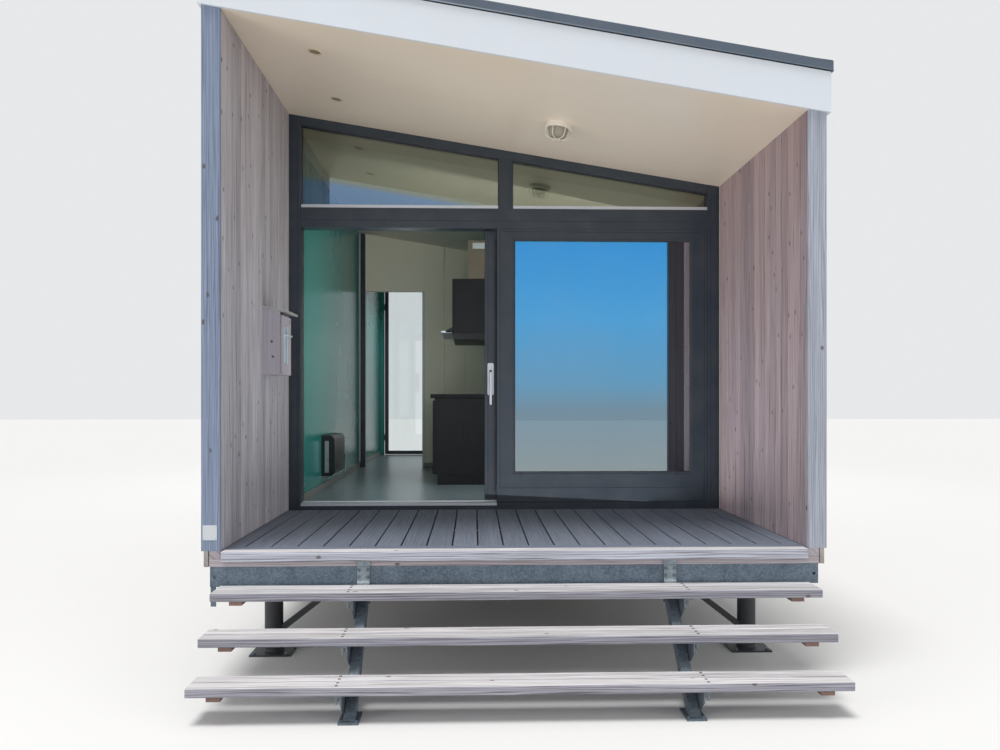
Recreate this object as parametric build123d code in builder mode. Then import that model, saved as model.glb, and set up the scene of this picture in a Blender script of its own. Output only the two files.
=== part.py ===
"""Beach hut on a steel chassis: open veranda with slatted wing walls, glazed front and steps."""

import os
from math import atan, cos, sin

from build123d import *

# Overall sizes of the hut, in millimetres
HUT_WIDTH = 3500
HUT_LENGTH = 8050
VERANDA_DEPTH = 1740
DECK_HEIGHT = 745
WALL_THICKNESS = 105
SOFFIT_HEIGHT = 2738
ROOF_SLOPE = 0.16

# Roof build-up, measured upright
CEILING_THICKNESS = 15
ROOM_CEILING_DROP = 135
FASCIA_HEIGHT = 230
FASCIA_THICKNESS = 18
ROOF_SURFACE_RISE = 245
TRIM_HEIGHT = 61
TRIM_PROJECTION = 12
TRIM_WIDTH = 110
EDGE_JOINT = 0.5

# Deck, floor and plinth
BOARD_THICKNESS = 28
EDGE_BOARD_WIDTH = 80
EDGE_BOARD_THICKNESS = 45
EDGE_BOARD_PROJECTION = 26
EDGE_BOARD_CLEARANCE = 10
BOARD_EDGE_RADIUS = 5
BOARD_GAP = 5
PLINTH_HEIGHT = 88
PLINTH_INSET = 45
PLINTH_DEPTH = 140
SKIRT_THICKNESS = 25
SKIRT_GAP = 5
JOIST_WIDTH = 60
JOIST_SPACING = 480
FLOOR_RISE = 15

# Steel chassis
CHANNEL_HEIGHT = 110
CHANNEL_FLANGE = 55
CHANNEL_WALL = 6
CHANNEL_SET_IN = 50
CHANNEL_HOLE = 17
CHANNEL_HOLE_FROM_END = 24
CROSS_MEMBER_COUNT = 6
CROSS_MEMBER_WIDTH = 60

# Trestles under the chassis
LEG_DIAMETER = 114
LEG_CENTRE = 1500
FOOT_PLATE = 250
FOOT_THICKNESS = 10
TRESTLE_BEAM = 100
BRACE_WIDTH = 50
BRACE_REACH = 420
BRACE_DROP = 315
FIRST_TRESTLE = 650
LAST_TRESTLE_FROM_REAR = 650

# Steps
TREAD_COUNT = 3
TREAD_LENGTH = 3270
TREAD_BOARD_WIDTH = 95
TREAD_BOARD_THICKNESS = 45
TREAD_DROP = 185
CLEAT_WIDTH = 70
CLEAT_THICKNESS = 20
CLEAT_FROM_END = 100
STRINGER_CENTRE = 855
STRINGER_TUBE = 60
STRINGER_WALL = 4
STRINGER_CORNER = 8
BRACKET_PLATE = 6
BRACKET_WIDTH = 50
HANGER_WIDTH = 72
HANGER_THICKNESS = 8
STRINGER_FOOT_LENGTH = 160
STRINGER_FOOT_WIDTH = 100

# Glazed front
FRAME_DEPTH = 130
FRAME_FACE = 90
HEAD_FACE = 80
MULLION_FACE = 108
SILL_HEIGHT = 50
DOOR_HEAD = 2145
TRANSOM_TOP = 2295
TRACK_RAIL_HEIGHT = 8
TRACK_RAIL_WIDTH = 6
SASH_THICKNESS = 50
BEAD_WIDTH = 14
BEAD_STEP = 5
FIXED_SASH_SETBACK = 8
SLIDING_SASH_SETBACK = 74
FIXED_LEFT_STILE = 138
FIXED_RIGHT_STILE = 134
FIXED_TOP_RAIL = 92
FIXED_BOTTOM_RAIL = 234
FIXED_PANE_LEFT = -68
GLASS_THICKNESS = 24
TRANSOM_GLASS_SETBACK = 45
GLASS_CLEARANCE = 0.3
LEAF_OVERLAP = 119
LEAF_SHOWING = 91
LEAF_STILE = 91
LEAF_TOP_RAIL = 80
LEAF_BOTTOM_RAIL = 100
DOOR_CLEARANCE = 6
RUNNING_CLEARANCE = 0.3
SHOE_LENGTH = 90
HANDLE_PLATE_WIDTH = 50
HANDLE_PLATE_HEIGHT = 248
HANDLE_PLATE_THICKNESS = 8
HANDLE_PLATE_TOP = 1120
PIVOT_DIAMETER = 24
LEVER_WIDTH = 22
LEVER_THICKNESS = 14
LEVER_STAND_OFF = 46
LEVER_LENGTH = 190

# Rear door
REAR_DOOR_WIDTH = 900
REAR_DOOR_HEAD = 2540
REAR_DOOR_CLEARANCE = 8
REAR_JAMB = 70
REAR_LEAF_SETBACK = 12
REAR_STILE = 50
HINGE_RADIUS = 8
HINGE_LENGTH = 50
HINGE_HEIGHTS = (250, 2200)
REAR_HANDLE_HEIGHT = 1025
REAR_HANDLE_WIDTH = 32
REAR_HANDLE_PLATE = 200
REAR_LEVER_LENGTH = 125

# Cupboard on the left wing wall
CUPBOARD_WIDTH = 230
CUPBOARD_DEPTH = 115
CUPBOARD_HEIGHT = 400
CUPBOARD_BOTTOM = 1003
CUPBOARD_FROM_FRONT = 940
CUPBOARD_BOARD = 15
CUPBOARD_DOOR_THICKNESS = 18
CUPBOARD_DOOR_GAP = 5
CUPBOARD_ROOF_OVERHANG = 45
CUPBOARD_ROOF_FALL = 40
CUPBOARD_HINGE_RADIUS = 5
CUPBOARD_HINGE_LENGTH = 30
LOCK_PLATE_WIDTH = 40
LOCK_PLATE_HEIGHT = 250
LOCK_PLATE_THICKNESS = 4
LOCK_LEVER_LENGTH = 115
LOCK_LEVER_DIAMETER = 16
LOCK_LEVER_STAND_OFF = 30

# Lamps under the soffit
LAMP_DIAMETER = 187
LAMP_BASE_HEIGHT = 32
LAMP_LIP = 8
LAMP_GLASS_DIAMETER = 136
LAMP_GLASS_HEIGHT = 54
LAMP_RIM = 24
LAMP_CAP_SHAPE = ((0, 1), (0.6, 0.96), (0.88, 0.76))
LAMP_CAGE_DIAMETER = 160
LAMP_CAGE_HEIGHT = 70
LAMP_CAGE_BAR = 6
LAMP_CAGE_HOOPS = 3
LAMP_X = 330
LAMP_FROM_FRONT = 960
SPOT_DIAMETER = 88
SPOT_HEIGHT = 4
SPOT_FROM_WALL = 445
SPOTS_FROM_FRONT = (405, 1210)

# Rooms behind the glass
LINING_THICKNESS = 12
PARTITION_FROM_FRONT = 5650
PARTITION_THICKNESS = 80
PASSAGE_WIDTH = 785
PASSAGE_POST = 72
PASSAGE_HEAD = 2140
KITCHEN_FROM_FRONT = 3440
KITCHEN_BEFORE_PARTITION = 210
KITCHEN_WIDTH = 610
KITCHEN_HEIGHT = 875
KITCHEN_WALL_X = -50
KITCHEN_WALL_THICKNESS = 60
WORKTOP_THICKNESS = 38
WORKTOP_OVERHANG = 20
TOE_HEIGHT = 100
TOE_DEPTH = 50
WALL_CABINET_DEPTH = 400
WALL_CABINET_BOTTOM = 1385
WALL_CABINET_HEIGHT = 600
WALL_CABINET_LENGTH = 900
DUCT_BOX_DEPTH = 250
DUCT_BOX_LENGTH = 300
DUCT_BOX_HEIGHT = 370
HOOD_PROJECTION = 107
HOOD_THICKNESS = 24
VISOR_HEIGHT = 134
VISOR_NOSE = 12
HEATER_FROM_FRONT = 3060
HEATER_LENGTH = 610
HEATER_HEIGHT = 372
HEATER_DEPTH = 120
HEATER_BOTTOM = 124
HEATER_ROUNDING = 50

# Places worked out from the sizes above
half_width = HUT_WIDTH / 2
inner_half = half_width - WALL_THICKNESS
tread_depth = 2 * TREAD_BOARD_WIDTH + BOARD_GAP
stair_reach = EDGE_BOARD_PROJECTION + TREAD_COUNT * tread_depth
rear_reach = FASCIA_THICKNESS + TRIM_PROJECTION
front_y = (stair_reach - HUT_LENGTH - rear_reach) / 2
rear_y = front_y + HUT_LENGTH
glass_y = front_y + VERANDA_DEPTH
frame_back_y = glass_y + FRAME_DEPTH
deck_z = DECK_HEIGHT
floor_z = deck_z + FLOOR_RISE
sill_z = deck_z + SILL_HEIGHT
plinth_z = deck_z - PLINTH_HEIGHT
chassis_z = plinth_z - CHANNEL_HEIGHT
plinth_half = half_width - PLINTH_INSET
chassis_half = half_width - CHANNEL_SET_IN
door_head_z = deck_z + DOOR_HEAD
partition_y = front_y + PARTITION_FROM_FRONT


def soffit_z(x):
    """Height of the sloping soffit above the ground at x: high on the left, low on the right."""
    return deck_z + SOFFIT_HEIGHT - ROOF_SLOPE * x


def block(x_range, y_range, z_range, mode=Mode.ADD):
    """Add a rectangular block between the given pairs of limits to the part being built."""
    limits = (x_range, y_range, z_range)
    middle = tuple((low + high) / 2 for low, high in limits)
    with Locations(middle):
        Box(*(high - low for low, high in limits), mode=mode)


def across(y):
    """Plane across the hut at y, with local x along X, local y up and its normal to the front."""
    return Plane(origin=(0, y, 0), x_dir=(1, 0, 0), z_dir=(0, -1, 0))


def along(x):
    """Plane along the hut at x, with local x along Y, local y up and its normal to the right."""
    return Plane(origin=(x, 0, 0), x_dir=(0, 1, 0), z_dir=(1, 0, 0))


def prism_across(corners, y_range, mode=Mode.ADD):
    """Add a prism that runs along Y and whose (x, z) outline is given by its corners."""
    with BuildSketch(across(y_range[0])) as outline:
        with BuildLine():
            Polyline(*corners, close=True)
        make_face()
    extrude(outline.sketch, amount=y_range[0] - y_range[1], mode=mode)


def prism_along(corners, x_range, mode=Mode.ADD):
    """Add a prism that runs along X and whose (y, z) outline is given by its corners."""
    with BuildSketch(along(x_range[0])) as outline:
        with BuildLine():
            Polyline(*corners, close=True)
        make_face()
    extrude(outline.sketch, amount=x_range[1] - x_range[0], mode=mode)


def board_along_x(half_length, y_range, z_range):
    """Add a board that runs along X, centred on the hut, with its four long edges rounded."""
    with BuildSketch(along(-half_length)) as end:
        with Locations((sum(y_range) / 2, sum(z_range) / 2)):
            RectangleRounded(y_range[1] - y_range[0], z_range[1] - z_range[0], BOARD_EDGE_RADIUS)
    extrude(end.sketch, amount=2 * half_length)


def under_roof(x_range, bottom, top_offset):
    """Corners of an upright outline whose top follows the soffit at top_offset from it."""
    left, right = x_range
    return (
        (left, bottom),
        (right, bottom),
        (right, soffit_z(right) + top_offset),
        (left, soffit_z(left) + top_offset),
    )


def roof_layer(x_range, low_offset, high_offset):
    """Corners of a layer that lies between two offsets above the sloping soffit."""
    left, right = x_range
    return (
        (left, soffit_z(left) + low_offset),
        (right, soffit_z(right) + low_offset),
        (right, soffit_z(right) + high_offset),
        (left, soffit_z(left) + high_offset),
    )


def hang_from_soffit(x, from_front):
    """Plane on the sloping soffit with its normal pointing down into the veranda."""
    return Plane(
        origin=(x, front_y + from_front, soffit_z(x)),
        x_dir=(1, 0, -ROOF_SLOPE),
        z_dir=(-ROOF_SLOPE, 0, -1),
    )


# Steel chassis: channel beams round the edge with cross members between them
channel_outline_z = (chassis_z, plinth_z)

with BuildPart() as chassis_front_beam:
    block((-chassis_half, chassis_half), (front_y, front_y + CHANNEL_FLANGE), channel_outline_z)
    block(
        (-chassis_half, chassis_half),
        (front_y + CHANNEL_WALL, front_y + CHANNEL_FLANGE),
        (chassis_z + CHANNEL_WALL, plinth_z - CHANNEL_WALL),
        Mode.SUBTRACT,
    )
    hole_x = chassis_half - CHANNEL_HOLE_FROM_END
    with Locations(across(front_y)):
        with Locations(*((x, chassis_z + CHANNEL_HEIGHT / 2) for x in (-hole_x, hole_x))):
            Hole(CHANNEL_HOLE / 2, depth=CHANNEL_WALL)

with BuildPart() as chassis_rear_beam:
    block((-chassis_half, chassis_half), (rear_y - CHANNEL_FLANGE, rear_y), channel_outline_z)
    block(
        (-chassis_half, chassis_half),
        (rear_y - CHANNEL_FLANGE, rear_y - CHANNEL_WALL),
        (chassis_z + CHANNEL_WALL, plinth_z - CHANNEL_WALL),
        Mode.SUBTRACT,
    )

rail_y = (front_y + CHANNEL_FLANGE, rear_y - CHANNEL_FLANGE)
with BuildPart() as chassis_rails:
    block((-chassis_half, -chassis_half + CHANNEL_FLANGE), rail_y, channel_outline_z)
    block(
        (-chassis_half + CHANNEL_WALL, -chassis_half + CHANNEL_FLANGE),
        rail_y,
        (chassis_z + CHANNEL_WALL, plinth_z - CHANNEL_WALL),
        Mode.SUBTRACT,
    )
    mirror(about=Plane.YZ)

cross_pitch = (rail_y[1] - rail_y[0]) / (CROSS_MEMBER_COUNT + 1)
with BuildPart() as chassis_cross_members:
    for index in range(CROSS_MEMBER_COUNT):
        middle_y = rail_y[0] + cross_pitch * (index + 1)
        block(
            (-chassis_half + CHANNEL_FLANGE, chassis_half - CHANNEL_FLANGE),
            (middle_y - CROSS_MEMBER_WIDTH / 2, middle_y + CROSS_MEMBER_WIDTH / 2),
            channel_outline_z,
        )

# Trestles: two round legs on foot plates, a beam across and a knee brace at each leg
beam_z = (chassis_z - TRESTLE_BEAM, chassis_z)
trestle_middles = (
    front_y + FIRST_TRESTLE,
    (front_y + FIRST_TRESTLE + rear_y - LAST_TRESTLE_FROM_REAR) / 2,
    rear_y - LAST_TRESTLE_FROM_REAR,
)


def add_trestle(y):
    """Add one trestle at y: legs, foot plates, beam and braces welded into one piece."""
    half_beam = TRESTLE_BEAM / 2
    block((-chassis_half, chassis_half), (y - half_beam, y + half_beam), beam_z)
    for side in (-1, 1):
        with BuildSketch(Plane.XY.offset(FOOT_THICKNESS)) as leg:
            with Locations((side * LEG_CENTRE, y)):
                Circle(LEG_DIAMETER / 2)
        extrude(leg.sketch, amount=beam_z[0] - FOOT_THICKNESS)
        foot_x = side * LEG_CENTRE
        block(
            (foot_x - FOOT_PLATE / 2, foot_x + FOOT_PLATE / 2),
            (y - FOOT_PLATE / 2, y + FOOT_PLATE / 2),
            (0, FOOT_THICKNESS),
        )
        brace = (
            (side * LEG_CENTRE, beam_z[0] - BRACE_DROP),
            (side * (LEG_CENTRE - BRACE_REACH), beam_z[0]),
            (side * (LEG_CENTRE - BRACE_REACH - BRACE_WIDTH), beam_z[0]),
            (side * LEG_CENTRE, beam_z[0] - BRACE_DROP - BRACE_WIDTH),
        )
        prism_across(brace, (y - BRACE_WIDTH / 2, y + BRACE_WIDTH / 2))


with BuildPart() as trestle_front:
    add_trestle(trestle_middles[0])

with BuildPart() as trestle_middle:
    add_trestle(trestle_middles[1])

with BuildPart() as trestle_rear:
    add_trestle(trestle_middles[2])

# Plinth: the front beam is rebated between the wing posts for the deck's edge board
edge_board_y = (
    front_y - EDGE_BOARD_PROJECTION,
    front_y - EDGE_BOARD_PROJECTION + EDGE_BOARD_WIDTH,
)
edge_board_z = (deck_z - EDGE_BOARD_THICKNESS, deck_z)
edge_board_half = inner_half - EDGE_BOARD_CLEARANCE
cross_board_y = (edge_board_y[1] + BOARD_GAP, front_y + PLINTH_DEPTH)
deck_start_y = cross_board_y[1] + BOARD_GAP

with BuildPart() as front_plinth_beam:
    block((-plinth_half, plinth_half), (front_y, front_y + PLINTH_DEPTH), (plinth_z, deck_z))
    block(
        (-inner_half, inner_half),
        (front_y, edge_board_y[1] + BOARD_GAP),
        (edge_board_z[0], deck_z),
        Mode.SUBTRACT,
    )

with BuildPart() as deck_edge_board:
    board_along_x(edge_board_half, edge_board_y, edge_board_z)

skirt_inner = plinth_half + SKIRT_GAP
spacer_count = int(HUT_LENGTH // JOIST_SPACING)
spacer_pitch = HUT_LENGTH / (spacer_count + 1)
with BuildPart() as side_skirts:
    block((skirt_inner, skirt_inner + SKIRT_THICKNESS), (front_y, rear_y), (plinth_z, deck_z))
    for index in range(spacer_count):
        spacer_y = front_y + spacer_pitch * (index + 1)
        block(
            (plinth_half, skirt_inner),
            (spacer_y - JOIST_WIDTH / 2, spacer_y + JOIST_WIDTH / 2),
            (plinth_z + PLINTH_HEIGHT / 4, deck_z - PLINTH_HEIGHT / 4),
        )
    mirror(about=Plane.YZ)

joist_z = (plinth_z, deck_z - BOARD_THICKNESS)
with BuildPart() as veranda_joists:
    for side in (-1, 1):
        rim = sorted((side * (plinth_half - JOIST_WIDTH), side * plinth_half))
        block(rim, (front_y + PLINTH_DEPTH, glass_y), (plinth_z, deck_z))
    first_joist_y = front_y + PLINTH_DEPTH + JOIST_SPACING / 2
    for index in range(int((glass_y - first_joist_y) // JOIST_SPACING) + 1):
        joist_y = first_joist_y + index * JOIST_SPACING
        block(
            (JOIST_WIDTH - plinth_half, plinth_half - JOIST_WIDTH),
            (joist_y - JOIST_WIDTH / 2, joist_y + JOIST_WIDTH / 2),
            joist_z,
        )

with BuildPart() as veranda_deck:
    block((-inner_half, inner_half), (deck_start_y, glass_y), (joist_z[1], deck_z))

with BuildPart() as floor_platform:
    block((-plinth_half, plinth_half), (glass_y, rear_y), (plinth_z, deck_z))

with BuildPart() as floor_finish:
    block(
        (-inner_half, inner_half),
        (frame_back_y, rear_y - WALL_THICKNESS),
        (deck_z, floor_z),
    )

# Steps: each tread is two boards on cleats, carried by brackets on two sloping tubes
stair_slope = TREAD_DROP / tread_depth
stair_angle = atan(stair_slope)
tube_rise = STRINGER_TUBE / cos(stair_angle)
hanger_front_y = front_y - HANGER_THICKNESS


def tread_back_y(number):
    """Back edge of a tread, counted from 1 at the top."""
    return edge_board_y[0] - tread_depth * (number - 1)


def tread_top_z(number):
    """Walking surface of a tread, counted from 1 at the top."""
    return deck_z - TREAD_DROP * number


def add_tread(number):
    """Add one tread: a front and a back board joined by two cleats underneath."""
    back_y = tread_back_y(number)
    top_z = tread_top_z(number)
    under_z = top_z - TREAD_BOARD_THICKNESS
    half_length = TREAD_LENGTH / 2
    for board in range(2):
        board_back_y = back_y - board * (TREAD_BOARD_WIDTH + BOARD_GAP)
        board_along_x(
            half_length, (board_back_y - TREAD_BOARD_WIDTH, board_back_y), (under_z, top_z)
        )
    cleat_out = half_length - CLEAT_FROM_END
    for cleat in ((cleat_out - CLEAT_WIDTH, cleat_out), (-cleat_out, CLEAT_WIDTH - cleat_out)):
        block(cleat, (back_y - tread_depth, back_y), (under_z - CLEAT_THICKNESS, under_z))


with BuildPart() as stair_tread_upper:
    add_tread(1)

with BuildPart() as stair_tread_middle:
    add_tread(2)

with BuildPart() as stair_tread_lower:
    add_tread(3)


def tube_top_z(y):
    """Upper face of a sloping tube, which passes under the back corner of every tread."""
    return tread_top_z(1) - TREAD_BOARD_THICKNESS + stair_slope * (y - edge_board_y[0])


def add_stringer(middle_x, outward):
    """Add one stringer: hanger plate, sloping tube, tread brackets and foot plate."""
    half_tube = STRINGER_TUBE / 2
    foot_top_y = edge_board_y[0] + (FOOT_THICKNESS - tube_top_z(edge_board_y[0])) / stair_slope
    foot_back_y = foot_top_y + tube_rise / stair_slope
    low_end = Plane(
        origin=(middle_x, foot_top_y, tube_top_z(foot_top_y) - tube_rise / 2),
        x_dir=(1, 0, 0),
        z_dir=(0, cos(stair_angle), sin(stair_angle)),
    )
    tube_length = (hanger_front_y - foot_top_y) / cos(stair_angle)
    with BuildSketch(low_end) as tube:
        RectangleRounded(STRINGER_TUBE, STRINGER_TUBE, STRINGER_CORNER)
        RectangleRounded(
            STRINGER_TUBE - 2 * STRINGER_WALL,
            STRINGER_TUBE - 2 * STRINGER_WALL,
            STRINGER_CORNER - STRINGER_WALL,
            mode=Mode.SUBTRACT,
        )
    extrude(tube.sketch, amount=tube_length + STRINGER_TUBE)
    block(
        (middle_x - half_tube, middle_x + half_tube),
        (hanger_front_y, hanger_front_y + 2 * STRINGER_TUBE),
        (chassis_z - CHANNEL_HEIGHT, deck_z),
        Mode.SUBTRACT,
    )
    block(
        (middle_x - half_tube, middle_x + half_tube),
        (foot_top_y - STRINGER_TUBE, foot_back_y + STRINGER_TUBE),
        (-STRINGER_TUBE, FOOT_THICKNESS),
        Mode.SUBTRACT,
    )
    block(
        (middle_x - HANGER_WIDTH / 2, middle_x + HANGER_WIDTH / 2),
        (hanger_front_y, front_y),
        (tube_top_z(hanger_front_y) - tube_rise, plinth_z),
    )
    foot_middle_y = (foot_top_y + foot_back_y) / 2
    block(
        (middle_x - STRINGER_FOOT_WIDTH / 2, middle_x + STRINGER_FOOT_WIDTH / 2),
        (foot_middle_y - STRINGER_FOOT_LENGTH / 2, foot_middle_y + STRINGER_FOOT_LENGTH / 2),
        (0, FOOT_THICKNESS),
    )
    face_x = middle_x + outward * half_tube
    web = sorted((face_x, face_x + outward * BRACKET_PLATE))
    flange = sorted((face_x, face_x + outward * BRACKET_WIDTH))
    for number in range(1, TREAD_COUNT + 1):
        back_y = tread_back_y(number)
        under_z = tread_top_z(number) - TREAD_BOARD_THICKNESS
        front = back_y - tread_depth + BOARD_GAP
        block(flange, (front, back_y), (under_z - BRACKET_PLATE, under_z))
        gusset = (
            (back_y, under_z),
            (front, under_z),
            (front, under_z - BRACKET_WIDTH),
            (back_y - tread_depth / 2, tube_top_z(back_y - tread_depth / 2) - half_tube),
            (back_y, tube_top_z(back_y) - half_tube),
        )
        prism_along(gusset, web)


with BuildPart() as stair_stringer_left:
    add_stringer(-STRINGER_CENTRE, -1)

with BuildPart() as stair_stringer_right:
    add_stringer(STRINGER_CENTRE, 1)

# Walls: each follows the roof slope and carries the roof
left_wall_x = (-half_width, -inner_half)
right_wall_x = (inner_half, half_width)

with BuildPart() as wing_wall_left:
    prism_across(under_roof(left_wall_x, deck_z, CEILING_THICKNESS), (front_y, glass_y))

with BuildPart() as wing_wall_right:
    prism_across(under_roof(right_wall_x, deck_z, CEILING_THICKNESS), (front_y, glass_y))

with BuildPart() as left_wall:
    prism_across(under_roof(left_wall_x, deck_z, CEILING_THICKNESS), (glass_y, rear_y))

with BuildPart() as right_wall:
    prism_across(under_roof(right_wall_x, deck_z, CEILING_THICKNESS), (glass_y, rear_y))

rear_opening_x = (-inner_half + REAR_JAMB, -inner_half + REAR_JAMB + REAR_DOOR_WIDTH)
rear_frame_x = (-inner_half, rear_opening_x[1] + REAR_JAMB)
rear_wall_y = (rear_y - WALL_THICKNESS, rear_y)
rear_head_z = deck_z + REAR_DOOR_HEAD
rear_frame_top = rear_head_z + REAR_JAMB

with BuildPart() as rear_wall:
    prism_across(
        under_roof((rear_frame_x[1], inner_half), deck_z, CEILING_THICKNESS), rear_wall_y
    )

with BuildPart() as rear_wall_over_door:
    prism_across(under_roof(rear_frame_x, rear_frame_top, CEILING_THICKNESS), rear_wall_y)

# Roof: ceiling sheets between the walls, the roof panel over them and the edges round it
with BuildPart() as veranda_soffit:
    prism_across(
        roof_layer((-inner_half, inner_half), 0, CEILING_THICKNESS), (front_y, frame_back_y)
    )

with BuildPart() as interior_ceiling:
    prism_across(
        roof_layer((-inner_half, inner_half), -ROOM_CEILING_DROP, CEILING_THICKNESS),
        (frame_back_y, rear_y - WALL_THICKNESS),
    )

with BuildPart() as roof_panel:
    prism_across(
        roof_layer((-half_width, half_width), CEILING_THICKNESS, ROOF_SURFACE_RISE),
        (front_y, rear_y),
    )

fascia_half = half_width + FASCIA_THICKNESS
with BuildPart() as fascia_boards:
    for y in (front_y - FASCIA_THICKNESS, rear_y):
        prism_across(
            roof_layer((-fascia_half, fascia_half), 0, FASCIA_HEIGHT), (y, y + FASCIA_THICKNESS)
        )
    for x_range in ((-fascia_half, -half_width), (half_width, fascia_half)):
        prism_across(
            roof_layer(x_range, 0, FASCIA_HEIGHT), (front_y + EDGE_JOINT, rear_y - EDGE_JOINT)
        )

trim_half = fascia_half + TRIM_PROJECTION
trim_top = FASCIA_HEIGHT + TRIM_HEIGHT
trim_y = (front_y - FASCIA_THICKNESS - TRIM_PROJECTION, rear_y + rear_reach)
trim_side_y = (trim_y[0] + TRIM_WIDTH + EDGE_JOINT, trim_y[1] - TRIM_WIDTH - EDGE_JOINT)
with BuildPart() as roof_edge_trim:
    for start in (trim_y[0], trim_y[1] - TRIM_WIDTH):
        prism_across(
            roof_layer((-trim_half, trim_half), FASCIA_HEIGHT, trim_top),
            (start, start + TRIM_WIDTH),
        )
    for x_range in ((-trim_half, TRIM_WIDTH - trim_half), (trim_half - TRIM_WIDTH, trim_half)):
        prism_across(roof_layer(x_range, FASCIA_HEIGHT, trim_top), trim_side_y)
    prism_across(
        roof_layer((-half_width, half_width), FASCIA_HEIGHT, ROOF_SURFACE_RISE),
        (front_y, rear_y),
        Mode.SUBTRACT,
    )

# Glazed front: outer frame with a sloping head, and a sill with the rail of the sliding leaf
frame_y = (glass_y, frame_back_y)
opening_half = inner_half - FRAME_FACE
head_bottom = -HEAD_FACE

with BuildPart() as frame_jambs:
    for x_range in ((-inner_half, -opening_half), (opening_half, inner_half)):
        prism_across(under_roof(x_range, deck_z, 0), frame_y)

with BuildPart() as frame_head:
    prism_across(roof_layer((-opening_half, opening_half), head_bottom, 0), frame_y)

transom_z = (door_head_z, deck_z + TRANSOM_TOP)
with BuildPart() as frame_transom:
    block((-opening_half, opening_half), frame_y, transom_z)

mullion_x = (-MULLION_FACE / 2, MULLION_FACE / 2)
with BuildPart() as frame_mullion:
    prism_across(under_roof(mullion_x, transom_z[1], head_bottom), frame_y)

sliding_sash_y = (
    glass_y + SLIDING_SASH_SETBACK,
    glass_y + SLIDING_SASH_SETBACK + SASH_THICKNESS,
)
sliding_middle_y = sum(sliding_sash_y) / 2
sill_outline = (
    (frame_y[0], deck_z),
    (frame_y[1], deck_z),
    (frame_y[1], sill_z),
    (sliding_middle_y + TRACK_RAIL_WIDTH / 2, sill_z),
    (sliding_middle_y + TRACK_RAIL_WIDTH / 2, sill_z + TRACK_RAIL_HEIGHT),
    (sliding_middle_y - TRACK_RAIL_WIDTH / 2, sill_z + TRACK_RAIL_HEIGHT),
    (sliding_middle_y - TRACK_RAIL_WIDTH / 2, sill_z),
    (frame_y[0], sill_z),
)
with BuildPart() as door_sill:
    prism_along(sill_outline, (-opening_half, opening_half))

glass_y_range = (
    glass_y + TRANSOM_GLASS_SETBACK,
    glass_y + TRANSOM_GLASS_SETBACK + GLASS_THICKNESS,
)
with BuildPart() as transom_glass:
    for x_range in ((-opening_half, mullion_x[0]), (mullion_x[1], opening_half)):
        inset = (x_range[0] + GLASS_CLEARANCE, x_range[1] - GLASS_CLEARANCE)
        prism_across(
            under_roof(inset, transom_z[1] + GLASS_CLEARANCE, head_bottom - GLASS_CLEARANCE),
            glass_y_range,
        )



def add_sash(x_range, y_range, z_range, glass_x, glass_z):
    """Add a sash whose rails step back by a glazing bead round the glass on both faces."""
    block(x_range, y_range, z_range)
    block(glass_x, y_range, glass_z, Mode.SUBTRACT)
    bead_x = (glass_x[0] - BEAD_WIDTH, glass_x[1] + BEAD_WIDTH)
    bead_z = (glass_z[0] - BEAD_WIDTH, glass_z[1] + BEAD_WIDTH)
    block(bead_x, (y_range[0], y_range[0] + BEAD_STEP), bead_z, Mode.SUBTRACT)
    block(bead_x, (y_range[1] - BEAD_STEP, y_range[1]), bead_z, Mode.SUBTRACT)


# Fixed pane on the right, in the outer half of the frame
fixed_y = (glass_y + FIXED_SASH_SETBACK, glass_y + FIXED_SASH_SETBACK + SASH_THICKNESS)
fixed_glass_x = (FIXED_PANE_LEFT + FIXED_LEFT_STILE, opening_half - FIXED_RIGHT_STILE)
fixed_glass_z = (sill_z + FIXED_BOTTOM_RAIL, door_head_z - FIXED_TOP_RAIL)
with BuildPart() as fixed_pane_frame:
    add_sash(
        (FIXED_PANE_LEFT, opening_half),
        fixed_y,
        (sill_z, door_head_z),
        fixed_glass_x,
        fixed_glass_z,
    )


def glass_between(x_range, y_range, z_range):
    """Add a sheet of glass in the middle of a sash, a clearance short of its edges."""
    middle_y = sum(y_range) / 2
    block(
        (x_range[0] + GLASS_CLEARANCE, x_range[1] - GLASS_CLEARANCE),
        (middle_y - GLASS_THICKNESS / 2, middle_y + GLASS_THICKNESS / 2),
        (z_range[0] + GLASS_CLEARANCE, z_range[1] - GLASS_CLEARANCE),
    )


with BuildPart() as fixed_pane_glass:
    glass_between(fixed_glass_x, fixed_y, fixed_glass_z)

# Sliding leaf, standing open behind the fixed pane with its first stile showing
leaf_left = FIXED_PANE_LEFT - LEAF_SHOWING
leaf_width = FIXED_PANE_LEFT + LEAF_OVERLAP + opening_half - DOOR_CLEARANCE
leaf_x = (leaf_left, leaf_left + leaf_width)
leaf_z = (sill_z + TRACK_RAIL_HEIGHT + DOOR_CLEARANCE, door_head_z - DOOR_CLEARANCE)
leaf_glass_x = (leaf_x[0] + LEAF_STILE, leaf_x[1] - LEAF_STILE)
leaf_glass_z = (leaf_z[0] + LEAF_BOTTOM_RAIL, leaf_z[1] - LEAF_TOP_RAIL)
with BuildPart() as sliding_door:
    add_sash(leaf_x, sliding_sash_y, leaf_z, leaf_glass_x, leaf_glass_z)
    shoe_z = (sill_z + TRACK_RAIL_HEIGHT + RUNNING_CLEARANCE, leaf_z[0])
    shoe_half = TRACK_RAIL_WIDTH
    for start in (leaf_x[0] + SHOE_LENGTH, leaf_x[1] - 2 * SHOE_LENGTH):
        block(
            (start, start + SHOE_LENGTH),
            (sliding_middle_y - shoe_half, sliding_middle_y + shoe_half),
            shoe_z,
        )

with BuildPart() as sliding_door_glass:
    glass_between(leaf_glass_x, sliding_sash_y, leaf_glass_z)

handle_x = leaf_x[0] + LEAF_STILE / 2
handle_top_z = deck_z + HANDLE_PLATE_TOP


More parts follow.
